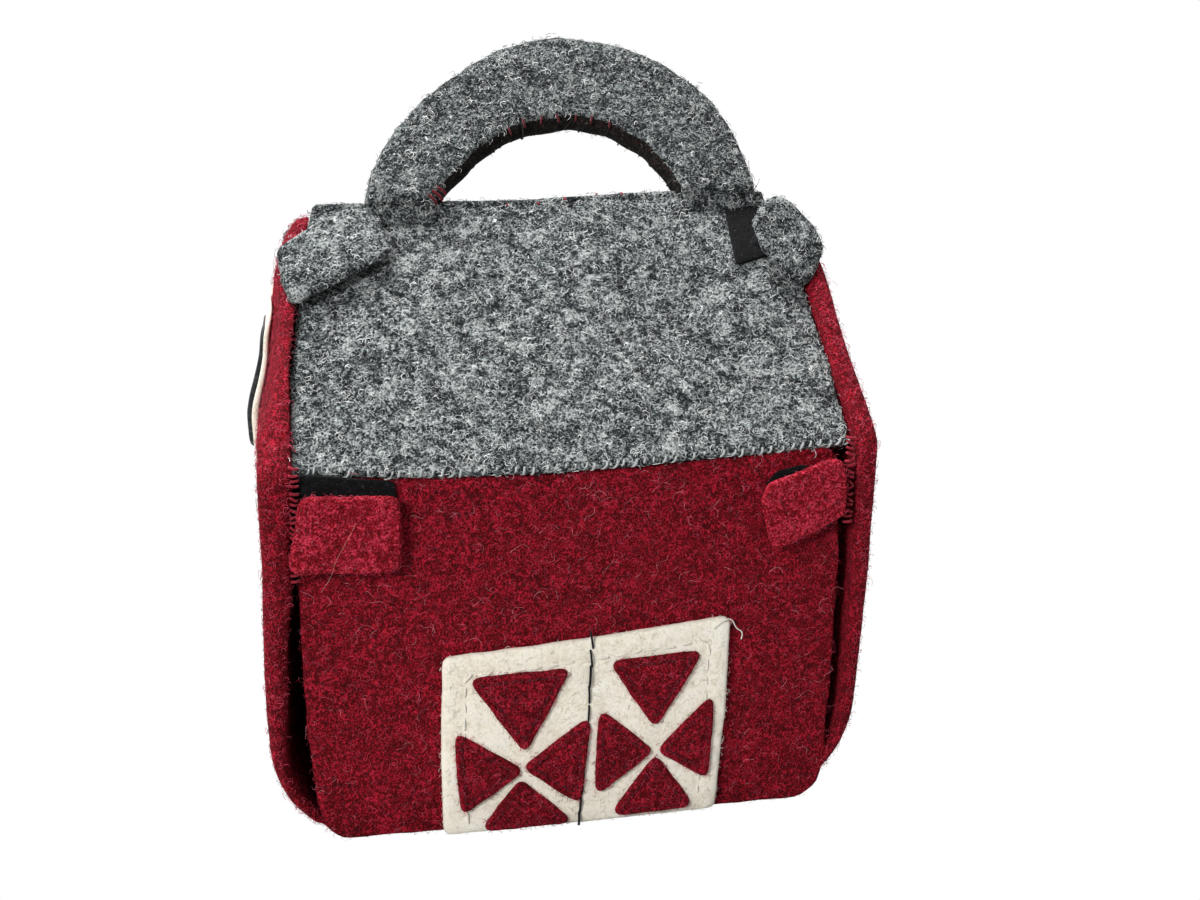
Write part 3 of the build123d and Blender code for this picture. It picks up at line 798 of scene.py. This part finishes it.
for (face, side), edge in GREY_TABS.items():
    sign, near = FACES[face], SIDES[side]
    body = f"{face}_{side}_roof_tab"
    curled = (face, side) == ("front", "right")

    def tab_place(a, c, w):
        """The tab rises over the gable's lip; the curled one stands up at its end."""
        up = 5.4 + 1.2 * clip((16 - a) / 16) - 2.7 * max(11 - a, 0.0) / 8
        if curled:
            up += 9.0 * max(a - 8, 0.0) ** 1.6 / 29**1.6
        return slant(side, face, a, c, up + w)

    tab = cut_felt(
        f"{body}_felt", rounded(edge, 5.0, 1.8, uneven=0.5, seed=70 + sign + near), tab_place,
        4.2, 2.0, pitch=2.0, crown=(0.7, 7.0), wave=(0.7, 13.0), seed=71 + 2 * sign + near, groove=(0.5, 4.6),
    )
    finish_piece(tab, grey_felt, None, "grey_felt", body)
    sewn_to_gable(tab)
    start = 8.0 if curled else 22.0
    soft = [(start, -9), (start + 24, -9), (start + 24, 9), (start, 9)]
    loop = tape_patch(f"{body}_loop_patch", "loop", soft, lambda a, c, w: tab_place(a, c, w - 2.9), 74)
    finish_piece(loop, loop_tape, body, "loop_tape", f"{body}_loop")
    patch = [(20, -10), (46, -10), (46, 10), (20, 10)]
    if curled:
        patch = [(24, -4.5), (34, -15.5), (48.5, 9.5), (36.5, 18.0)]
    hook = tape_patch(
        f"{face}_{side}_roof_hook_patch", "hook", patch,
        lambda a, c, w: slant(side, face, a, c, HOOK_OUT + w), 76,
    )
    finish_piece(hook, hook_tape, "shell", "hook_tape", f"{face}_{side}_roof_hook")

# ---- Handle ----------------------------------------------------------------------------
# A padded half ring of grey felt, overcast along both edges. Its feet are sewn to the ridge, so
# that it leans back and swings there.

HANDLE_LEAN, RIDGE = radians(39.0), 234.8
DROP = 6.8 / cos(HANDLE_LEAN)
SET_BACK = 3.0  # its front felt nearly follows the front of the roof


def handle_place(x, h, w):
    """A point of the handle: x to the right, h up along it from the ridge, w out to the front."""
    up, out = h - DROP, w - SET_BACK
    return at(
        x, up * sin(HANDLE_LEAN) - out * cos(HANDLE_LEAN),
        RIDGE + up * cos(HANDLE_LEAN) + out * sin(HANDLE_LEAN),
    )


HANDLE_OUTSIDE = [
    (88.2, 0.4, 3), (86.6, 13.3), (84.2, 24.6), (81.0, 34.6), (76.4, 44.4), (70.2, 53.0), (61.6, 61.6),
    (50.4, 69.6), (35.4, 76.4), (14.4, 79.6), (1.3, 78.5), (-12.7, 74.3), (-26.0, 65.8), (-38.3, 56.1),
    (-47.8, 47.3), (-57.4, 35.7), (-63.2, 26.2), (-68.2, 14.4), (-71.6, 0.4, 3),
]
HANDLE_INSIDE = [
    (-43.6, 0.4, 3), (-37.2, 8.0), (-25.0, 21.0), (-14.0, 29.8), (-1.5, 35.0), (15.6, 37.2), (29.6, 33.2),
    (43.8, 22.4), (50.2, 13.4), (55.8, 0.4, 3),
]
handle = cut_felt(
    "carry_handle", rounded(HANDLE_OUTSIDE + HANDLE_INSIDE, 14.0, 2.4, uneven=0.6, seed=80), handle_place,
    11.5, 3.6, pitch=2.6, crown=(1.3, 13.0), wave=(0.6, 22.0), seed=81,
)
# The handle's felt is a darker copy of the roof's grey felt: painted shade, because the handle's steeper faces
# get less of the light from above. The roots over the ridge share it.
handle_felt = felt_finish(
    "grey_felt_painted_darker", "#0a0c0e", "#363c3f", "#9ba19f",
    [("#0a0c0e", 640.0, 0.060, 0.60, 0.85, -0.4), ("#15191c", 430.0, 0.040, 0.55, 0.7, -0.3),
     ("#aeb4b3", 640.0, 0.045, 0.58, 0.8, 0.5), ("#e4e6e4", 430.0, 0.028, 0.58, 0.9, 0.7)],
    contrast=(3.0, 1.7, 1.4), grain=1150.0, sheen=0.03, bump=1.0,
)
finish_piece(
    handle, handle_felt, "handle", "grey_felt", "handle_front_felt", "handle_padding", "handle_back_felt"
)
# The inner rim under the handle's arch faces down, away from the lamps. Its near-black finish is painted shade,
# with a dark red tint where the rim's red stitches lie in that shade.
rim_shade_felt = felt_finish(
    "grey_felt_painted_shade", "#050404", "#1a1513", "#3a332f",
    [("#030202", 640.0, 0.060, 0.60, 0.85, -0.4), ("#4a1218", 430.0, 0.030, 0.5, 0.6, 0.3),
     ("#6d6a66", 640.0, 0.030, 0.50, 0.7, 0.5)],
    contrast=(2.0, 1.2, 0.8), grain=950.0, sheen=0.0, bump=1.0,
)
handle.data.materials.append(rim_shade_felt)
RIM_SHADE = 1  # the handle's second finish: painted shade on the inner rim under the arch, which faces down away from the lamps
# The faces that look down into the arch get the painted shade.
shade_centre = handle_place(6.5, 0, -3)
to_front = handle_place(0, 0, 1) - handle_place(0, 0, 0)
for f in handle.data.polygons:
    if f.normal.dot((shade_centre - f.center).normalized()) > 0.62 and abs(f.normal.dot(to_front)) < 0.00062:
        f.material_index = RIM_SHADE


def sewn_to_ridge(piece):
    """Bakes a piece's placement into its mesh; it stays on the roof at its foot and is put on no body, so it
    does not swing with the handle.
    """
    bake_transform(piece)


for side, low, high in (("left", -70.5, -44.0), ("right", 56.0, 86.5)):
    rise = [
        (low - 1.0, 0.0), (high + 1.5, 0.0), (high + 0.5, 10.0), (high - 0.8, 21.0), (low + 0.8, 21.0),
        (low - 0.2, 10.0),
    ]

    def over_ridge(x, t, w):
        """The handle's front felt runs down over the ridge on to the roof."""
        thin = 1 - ease((t + 1.0) / 9.0)
        on_roof = slope(x, 112.0 + t, 2.7 - 0.9 * thin + w * (1 - 0.65 * thin))
        return on_roof.lerp(handle_place(x, t - 15.0, 4.9 + w), ease((t - 4.5) / 13.0))

    flap = cut_felt(
        f"{side}_handle_root", rounded(rise, 3.0, 1.8, uneven=0.5, seed=83), over_ridge,
        2.8, 1.3, pitch=2.0, crown=(0.2, 4.0), wave=(0.5, 11.0), seed=84,
    )
    finish_piece(flap, handle_felt, None, "grey_felt")
    sewn_to_ridge(flap)

# ---- Seams -----------------------------------------------------------------------------
# Yarn overcasts the edges: grey along the eaves and the handle, red along the foot. White running
# stitches hold the door panel, black ones part its doors, and dark red ones hold the triangles.


def chance(tree, low, high, **settings):
    """A random number from low to high for each point."""
    made = node(tree, "FunctionNodeRandomValue", data_type="FLOAT", **settings)
    feed(tree, made.inputs[2], low)
    feed(tree, made.inputs[3], high)
    return made.outputs[1]


def stitch_tree():
    """Yarn stitches at a pitch along a seam, each an arch from one side of it to the other."""
    sizes = dict.fromkeys(("Pitch", "Run", "Near", "Far", "Height", "Depth", "Yarn", "Uneven"), "Float")
    made, give, end = new_group(
        "yarn_stitches", "GeometryNodeTree", ("Stitches", "Geometry"),
        Seam="Geometry", **sizes, Seed="Int", Material="Material",
    )
    add, sums = partial(node, made), partial(maths, made)
    far, height, seed, uneven = (give[key] for key in ("Far", "Height", "Seed", "Uneven"))
    spaced = add(
        "GeometryNodeResampleCurve", mode="LENGTH", Curve=add("GeometryNodeMeshToCurve", give["Seam"]),
        Length=give["Pitch"],
    )
    shake = add("FunctionNodeRandomValue", data_type="FLOAT_VECTOR", Min=(-1, -1, -1), Max=(1, 1, 1), Seed=seed)
    small = add(
        "ShaderNodeVectorMath", shake, operation="SCALE",
        Scale=sums("MULTIPLY", give["Pitch"], sums("MULTIPLY", uneven, 0.12)),
    )
    strewn = add("GeometryNodeSetPosition", Geometry=spaced, Offset=small)

    half = sums("MULTIPLY", give["Run"], 0.5)
    back, near, sunk = (sums("MULTIPLY", size, -1.0) for size in (half, give["Near"], give["Depth"]))
    point = partial(add, "ShaderNodeCombineXYZ")
    arch = add(
        "GeometryNodeCurvePrimitiveBezierSegment", mode="POSITION", Resolution=7,
        Start=point(back, near, sunk), Start_Handle=point(back, near, height),
        End_Handle=point(half, far, height), End=point(half, far, sunk),
    )
    ring = add("GeometryNodeCurvePrimitiveCircle", Resolution=5, Radius=give["Yarn"])
    yarn = add("GeometryNodeCurveToMesh", Curve=arch, Profile_Curve=ring)

    outward = add("GeometryNodeInputNamedAttribute", data_type="FLOAT_VECTOR", Name="out")
    along = add("GeometryNodeInputTangent")
    upright = add("FunctionNodeAxesToRotation", outward, along, primary_axis="Z", secondary_axis="X")
    twist = chance(
        made, sums("MULTIPLY", uneven, -0.5), sums("MULTIPLY", uneven, 0.5), Seed=sums("ADD", seed, 7)
    )
    spin = add("FunctionNodeEulerToRotation", point(Z=twist))
    sewn = add(
        "GeometryNodeInstanceOnPoints", Points=strewn, Instance=yarn,
        Rotation=add("FunctionNodeRotateRotation", upright, spin, rotation_space="LOCAL"),
        Scale=chance(made, 0.88, 1.12, Seed=sums("ADD", seed, 13)),
    )
    real = add("GeometryNodeRealizeInstances", sewn)
    feed(made, end, add("GeometryNodeSetMaterial", real, Material=give["Material"]))
    return made


STITCHES = stitch_tree()


def grown(tree, mesh, name, material, settings):
    """Runs a Geometry Nodes tree on a mesh and keeps what it makes as a plain mesh."""
    source = put(name + "_source", mesh)
    work = source.modifiers.new("grow", "NODES")
    work.node_group = tree
    for item in tree.interface.items_tree:
        if item.in_out == "INPUT" and item.name in settings:
            work[item.identifier] = settings[item.name]
        elif item.in_out == "INPUT" and item.name == "Material":
            work[item.identifier] = material
    plan = bpy.context.evaluated_depsgraph_get()
    result = bpy.data.meshes.new_from_object(source.evaluated_get(plan))
    source.modifiers.remove(work)
    bpy.data.objects.remove(source)
    result.name = name
    for v in result.vertices:
        v.co.z = max(v.co.z, 0.0001)
    result.shade_smooth()
    return put(name, result)


def seam(name, path, yarn, pitch, run, near, far, height, depth, thick, uneven=0.5, seed=0):
    """Sews along a path of (point, outward direction); sizes are in millimetres."""
    mesh = bpy.data.meshes.new(name + "_line")
    mesh.from_pydata([p for p, _ in path], [(i, i + 1) for i in range(len(path) - 1)], [])
    out_way = mesh.attributes.new("out", "FLOAT_VECTOR", "POINT")
    for i, (_, d) in enumerate(path):
        out_way.data[i].vector = d
    return grown(STITCHES, mesh, name, yarn, {
        "Pitch": pitch / 1000, "Run": run / 1000, "Near": near / 1000, "Far": far / 1000,
        "Height": height / 1000, "Depth": depth / 1000, "Yarn": thick / 2000, "Uneven": uneven, "Seed": seed,
    })


def yarn_finish(name, dark, middle, light):
    return felt_finish(
        name, dark, middle, light, [(light, 1500.0, 0.06, 0.55, 0.6, 0.5)],
        contrast=(0.9, 0.6, 0.3), grain=1800.0, sheen=0.15, bump=0.6,
    )


red_yarn = yarn_finish("red_yarn", "#5c0a14", "#8e1828", "#c23c50")
dark_red_yarn = yarn_finish("dark_red_yarn", "#26030a", "#560b17", "#8a2433")
grey_yarn = yarn_finish("grey_yarn", "#84898a", "#b9bebd", "#eceeed")
# A near-black copy of the grey yarn: painted shade, for the overcasting on the handle's inner edge under the
# arch.
shaded_grey_yarn = yarn_finish("grey_yarn_painted_shade", "#070606", "#1c1816", "#45403c")
white_yarn = yarn_finish("white_yarn", "#d9d2c2", "#f1ece0", "#ffffff")
black_yarn = yarn_finish("black_yarn", "#020203", "#0c0d0f", "#2a2c30")


def keep(piece, body):
    """Says which body a piece moves with."""
    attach(piece, body)


def facing(here, there):
    """A place on a seam, and the direction from it in which the stitches stand."""
    return here, (there - here).normalized()


FORWARD = Vector((0, -1, 0))

for face, sign in FACES.items():
    sagging = 1.0 if sign == 1 else 0.5
    path = []
    for k in range(101):
        x = -102 + 2.04 * k
        a, b = next((a, b) for a, b in zip(EAVE_SAG, EAVE_SAG[1:]) if a[0] <= x <= b[0])
        low = (a[1] + (b[1] - a[1]) * (x - a[0]) / (b[0] - a[0])) * sagging
        path.append(facing(slope(x, low + 0.5, -0.3, sign), slope(x, low - 1.0, -0.6, sign)))
    yarn = seam(
        f"{face}_eave_overcasting", path, grey_yarn,
        pitch=3.7, run=2.0, near=1.5, far=2.1, height=0.75, depth=1.5, thick=0.95, uneven=0.9, seed=5,
    )
    keep(yarn, "shell")

    down = Vector((0, -sign * 0.7, -0.7))
    foot = [(at(sign * (-89 + 2.0 * k), -sign * 89.6, 0.9), down) for k in range(90)]
    yarn = seam(
        f"{face}_foot_overcasting", foot, red_yarn,
        pitch=4.3, run=1.0, near=1.6, far=2.2, height=0.5, depth=1.2, thick=0.9, uneven=0.5, seed=6,
    )
    keep(yarn, "shell")

for name, edge in (("outer", HANDLE_OUTSIDE), ("inner", HANDLE_INSIDE)):
    line = [Vector(p[:2]) for p in edge]
    path, rim = [], []
    for p, q in zip(line, line[1:]):
        run = (q - p).normalized()
        for share in (0.0, 0.25, 0.5, 0.75):
            spot = p.lerp(q, share)
            here, inner = handle_place(*spot, 0), handle_place(spot.x - run.y, spot.y + run.x, 0)
            path.append((here, (here - inner).normalized()))
            inset = (spot.x - 1.6 * run.y, spot.y + 1.6 * run.x)
            here, inner = handle_place(*inset, 6.1), handle_place(*inset, 0)
            rim.append((here, (here - inner).normalized()))
    # The inner edge's overcasting takes the near-black yarn, which is painted shade under the arch.
    yarn = seam(
        f"handle_{name}_overcasting", path, grey_yarn if name == "outer" else shaded_grey_yarn,
        pitch=4.6, run=1.4, near=5.2, far=5.2, height=0.35, depth=2.4, thick=0.6, uneven=0.8, seed=8,
    )
    keep(yarn, "handle")
    if name == "inner":
        yarn = seam(
            "handle_red_stitches", rim[13:25], dark_red_yarn,
            pitch=6.4, run=0.3, near=2.0, far=1.6, height=0.4, depth=0.9, thick=0.9, uneven=0.6, seed=9,
        )
        keep(yarn, "handle")
        yarn = seam(
            "handle_red_foot_stitches", rim[0:3], dark_red_yarn,
            pitch=1.7, run=0.6, near=3.2, far=2.8, height=0.5, depth=1.4, thick=1.4, uneven=0.9, seed=10,
        )
        keep(yarn, "handle")

ridge = []
for k in range(12, 54):
    x = -88 + 3.0 * k
    ridge.append(facing(slope(x, SLOPE - 0.5, 0.2), slope(x, SLOPE + 1.0, 0.6)))
yarn = seam(
    "ridge_red_stitches", ridge, red_yarn,
    pitch=11.5, run=0.7, near=1.5, far=4.6, height=1.0, depth=1.3, thick=0.9, uneven=1.2, seed=21,
)
keep(yarn, "shell")

PANEL_LINE = [(-46.0, 6.0), (-45.8, 36), (-44.6, 62.6), (-2, 66.0), (48.6, 70.4), (46.6, 40), (43.0, 6.6)]
path = []
for a, b in zip(PANEL_LINE, PANEL_LINE[1:]):
    for k in range(12):
        x, z = unsettled(a[0] + (b[0] - a[0]) * k / 12, a[1] + (b[1] - a[1]) * k / 12)
        path.append((on_front(3.7)(x, z, 0.15), FORWARD))
yarn = seam(
    "door_panel_running_stitches", path, white_yarn,
    pitch=6.4, run=4.4, near=0.15, far=0.15, height=0.5, depth=0.5, thick=0.7, uneven=0.25, seed=12,
)
keep(yarn, "shell")
path = []
for k in range(40):
    t = k / 39
    x, z = unsettled(3.4 - 7.2 * t + 1.0 * sin(3 * t), 74.4 - 73.6 * t)
    path.append((on_front(3.9)(x, z, 0.0), FORWARD))
yarn = seam(
    "door_parting_stitches", path, black_yarn,
    pitch=7.4, run=7.6, near=0.35, far=0.35, height=1.2, depth=0.2, thick=0.95, uneven=0.25, seed=14,
)
keep(yarn, "shell")

# Each triangle is sewn down inside its rim with dark red thread.
for name, tips in TRIANGLES.items():
    middle = Vector((sum(q[0] for q in tips) / 3, sum(q[1] for q in tips) / 3))
    inner = [middle + (Vector(q) - middle) * 0.74 for q in tips]
    path = []
    for a, b in zip(inner, inner[1:] + inner[:1]):
        for k in range(10):
            x, z = unsettled(*a.lerp(b, k / 10))
            path.append((on_front(4.4)(x, z, 1.05), FORWARD))
    yarn = seam(
        f"{name}_stitches", path + path[:1], dark_red_yarn,
        pitch=2.9, run=2.1, near=0.2, far=0.2, height=0.35, depth=0.5, thick=0.55, uneven=0.5, seed=17,
    )
    keep(yarn, "shell")

# Red yarn whips each red tab's root to the gable's front edge.
root_yarn = yarn_finish("tab_root_yarn", "#5c0814", "#94142a", "#cc3c50")
for side, sign in SIDES.items():
    low, high = (105, 147) if side == "left" else (114, 147)
    path = []
    for k in range(24):
        z = low + (high - low) * k / 23
        path.append((gable_place(side)(-94.0, z, 0) - Vector((sign * 0.0066, 0, 0)), FORWARD))
    yarn = seam(
        f"{side}_tab_root_stitches", path, root_yarn,
        pitch=2.2, run=0.8, near=1.5, far=1.5, height=0.4, depth=1.2, thick=1.1, uneven=1.1, seed=18,
    )
    follow_gable(yarn)


def loose_thread(name, points, thick, material):
    """One loose end of thread through the points given."""
    line = bpy.data.curves.new(name, "CURVE")
    line.dimensions, line.bevel_depth, line.bevel_resolution, line.resolution_u = "3D", thick / 2000, 1, 6
    run = line.splines.new("NURBS")
    run.points.add(len(points) - 1)
    for spot, place in zip(run.points, points):
        spot.co = (*place, 1.0)
    run.order_u, run.use_endpoint_u = 3, True
    line.materials.append(material)
    carrier = put(name + "_line", line)
    mesh = bpy.data.meshes.new_from_object(carrier.evaluated_get(bpy.context.evaluated_depsgraph_get()))
    bpy.data.objects.remove(carrier)
    return put(name, mesh)


tail = [
    (50.0, 75.2, 1.4), (54.4, 79.0, 1.6), (57.6, 78.0, 0.8), (58.8, 74.2, 0.4), (62.0, 72.4, 0.4),
    (61.0, 69.6, 0.4),
]
path = [on_front(2.9)(*unsettled(x, z), w) for x, z, w in tail]
keep(loose_thread("door_panel_loose_thread", path, 0.5, white_yarn), "shell")
pale_hair = yarn_finish("pale_hair", "#a06a58", "#cf9c86", "#f0d2c0")
hair = [
    (-81.2, 126.6, 8.4), (-84.0, 121.0, 9.2), (-88.6, 114.0, 9.0), (-90.4, 107.0, 8.8), (-94.2, 101.6, 7.6),
]
path = [at(x, -(89.5 + w), z) for x, z, w in hair]
keep(loose_thread("left_tab_hair", path, 0.10, pale_hair), "front_left_wall_tab")

# ---- Loose wool --------------------------------------------------------------------------
# Stray fibres stand and curl off every felt face, thickest where hands rub the edges.


def loose_wool_tree():
    """Short curly fibres of three shapes, scattered over a mesh and lying more or less flat on it."""
    made, give, end = new_group(
        "loose_wool", "GeometryNodeTree", ("Fibres", "Geometry"), Felt="Geometry", Density="Float",
        Length="Float", Thickness="Float", Lie="Float", Curl="Float", Seed="Int", Material="Material",
    )
    add, sums = partial(node, made), partial(maths, made)
    roots = add(
        "GeometryNodeDistributePointsOnFaces", Mesh=give["Felt"], Density=give["Density"], Seed=give["Seed"]
    )
    ring = add(
        "GeometryNodeCurvePrimitiveCircle", Resolution=3,
        Radius=sums("DIVIDE", give["Thickness"], give["Length"]),
    )
    shapes = add("GeometryNodeGeometryToInstance")
    for first, second, tip in (
        ((0.55, 0.10, 0.30), (-0.50, 0.0, 0.55), (0.10, -0.05, 0.85)),
        ((0.50, 0.0, 0.15), (0.60, 0.10, 0.75), (-0.05, 0.0, 0.80)),
        ((-0.20, 0.0, 0.45), (-0.15, -0.08, 0.95), (-0.75, 0.0, 0.70)),
    ):
        bent = add(
            "GeometryNodeCurvePrimitiveBezierSegment", mode="POSITION", Resolution=5,
            Start=(0, 0, 0), Start_Handle=first, End_Handle=second, End=tip,
        )
        feed(made, shapes.inputs[0], add("GeometryNodeCurveToMesh", Curve=bent, Profile_Curve=ring))
    tilt = chance(made, give["Lie"], 1.5, Seed=give["Seed"])
    turn = add("FunctionNodeEulerToRotation", add("ShaderNodeCombineXYZ", X=tilt, Z=chance(made, -pi, pi)))
    grown_on = add(
        "GeometryNodeInstanceOnPoints", Points=roots.outputs["Points"], Instance=shapes, Pick_Instance=True,
        Rotation=add("FunctionNodeRotateRotation", roots.outputs["Rotation"], turn, rotation_space="LOCAL"),
        Scale=sums("MULTIPLY", chance(made, 0.5, 1.4), give["Length"]),
    )
    real = add("GeometryNodeRealizeInstances", grown_on)
    drift = add("ShaderNodeTexNoise", Scale=420.0, Detail=1.0)
    centred = add("ShaderNodeVectorMath", drift.outputs["Color"], (0.5, 0.5, 0.5), operation="SUBTRACT")
    wide = add("ShaderNodeVectorMath", centred, operation="SCALE", Scale=give["Curl"])
    curled_on = add("GeometryNodeSetPosition", Geometry=real, Offset=wide)
    feed(made, end, add("GeometryNodeSetMaterial", curled_on, Material=give["Material"]))
    return made


LOOSE_WOOL = loose_wool_tree()


def loose_wool(name, felt, material, density, length, thick, lie, curl, seed, outside=False, rim=False):
    """Fibres off the felt pieces of one body; density is per square centimetre, sizes in millimetres.

    outside leaves out the faces that look into the barn, and rim leaves out all but the edge.
    """
    bm = bmesh.new()
    for piece in felt:
        bm.from_mesh(piece.data)
    middle = Vector((0, 0, 0.09))
    # Faces with the handle's painted-shade finish grow no loose wool.
    hidden = [
        f for f in bm.faces
        if f.material_index == RIM_SHADE or rim and abs(f.normal.x) > 0.8
        or outside and f.normal.dot((f.calc_center_median() - middle).normalized()) < -0.15
    ]
    bmesh.ops.delete(bm, geom=hidden, context="FACES")
    mesh = bpy.data.meshes.new(name + "_felt")
    bm.to_mesh(mesh)
    bm.free()
    return grown(LOOSE_WOOL, mesh, name, material, {
        "Density": density * 1e4, "Length": length / 1000, "Thickness": thick / 2000, "Lie": lie,
        "Curl": curl / 1000, "Seed": seed,
    })


def strand_finish(name, dark, light):
    """Smooth fibres that vary between two colours."""
    made = bpy.data.materials.new(name)
    made.use_nodes = True
    tree = made.node_tree
    place = node(tree, "ShaderNodeTexCoord").outputs["Object"]
    vary = node(tree, "ShaderNodeTexNoise", Vector=place, Scale=300.0, Detail=1.0)
    ramp = node(tree, "ShaderNodeValToRGB", vary)
    for stop, position, colour in zip(ramp.color_ramp.elements, (0.38, 0.62), (dark, light)):
        stop.position, stop.color = position, tone(colour)
    skin = tree.nodes["Principled BSDF"]
    for key, value in (("Base Color", ramp), ("Roughness", 0.6), ("Specular IOR Level", 0.3)):
        feed(tree, skin.inputs[key], value)
    return made


red_strands = strand_finish("red_strands", "#6a0a18", "#e2506a")
pale_red_strands = strand_finish("pale_red_strands", "#a02c3e", "#ec98a4")
grey_strands = strand_finish("grey_strands", "#15191b", "#f4f6f5")
white_strands = strand_finish("white_strands", "#e8e0d0", "#fffdf8")
piece_of = bpy.data.objects

for side in SIDES:
    felt = [piece_of[f"{side}_gable"]]
    for kind, many, long, thick, lie in (("", 13.0, 2.3, 0.12, 1.1), ("_long", 0.9, 6.0, 0.10, 1.2)):
        wool = loose_wool(
            f"{side}_gable{kind}_wool", felt, red_strands, many, long, thick, lie, 1.4, 3, outside=True
        )
        follow_gable(wool)
    wool = loose_wool(f"{side}_gable_rim_wool", felt, red_strands, 40.0, 2.2, 0.13, 0.9, 1.4, 13, rim=True)
    follow_gable(wool)
for face, share in (("front", 1.0), ("back", 0.4)):
    for part, kind, strands, many, long, thick, lie, curl, seed, slot_name in (
        ("wall", "", red_strands, 22.0, 2.3, 0.11, 1.28, 1.6, 4, "red_felt"),
        ("wall", "_long", pale_red_strands, 1.5, 5.5, 0.10, 1.36, 1.6, 4, "red_felt"),
        ("roof", "", grey_strands, 24.0, 2.6, 0.18, 1.3, 1.2, 5, "grey_felt"),
        ("roof", "_long", grey_strands, 2.0, 5.5, 0.14, 1.33, 1.2, 5, "grey_felt"),
    ):
        wool = loose_wool(
            f"{face}_{part}{kind}_wool", [piece_of[f"{face}_{part}"]], strands, many * share, long, thick, lie,
            curl, seed, outside=True,
        )
        keep(wool, "shell")
roots = [piece_of[f"{side}_handle_root"] for side in SIDES]
wool = loose_wool("handle_root_wool", roots, grey_strands, 20.0, 2.6, 0.18, 1.25, 1.2, 6)
sewn_to_ridge(wool)
for kind, many, long, thick in (("", 19.0, 2.6, 0.18), ("_long", 1.6, 5.0, 0.14)):
    wool = loose_wool(f"handle{kind}_wool", [handle], grey_strands, many, long, thick, 1.25, 1.2, 6)
    keep(wool, "handle")
wool = loose_wool("door_panel_wool", [panel], white_strands, 22.0, 2.0, 0.12, 1.25, 1.2, 7, outside=True)
keep(wool, "shell")
triangles = [piece_of[f"{name}_felt"] for name in TRIANGLES]
wool = loose_wool("door_triangle_wool", triangles, red_strands, 40.0, 1.9, 0.12, 0.8, 1.2, 8)
keep(wool, "shell")
for face, side in RED_TABS:
    tab = f"{face}_{side}_wall_tab"
    felt = [piece_of[f"{tab}_felt"]]
    wool = loose_wool(f"{tab}_wool", felt, red_strands, 30.0, 2.1, 0.12, 1.0, 1.4, 9, outside=True)
    keep(wool, tab)
    tab = f"{face}_{side}_roof_tab"
    felt = [piece_of[f"{tab}_felt"]]
    wool = loose_wool(f"{tab}_wool", felt, grey_strands, 22.0, 2.5, 0.17, 1.2, 1.1, 10, outside=True)
    sewn_to_gable(wool)
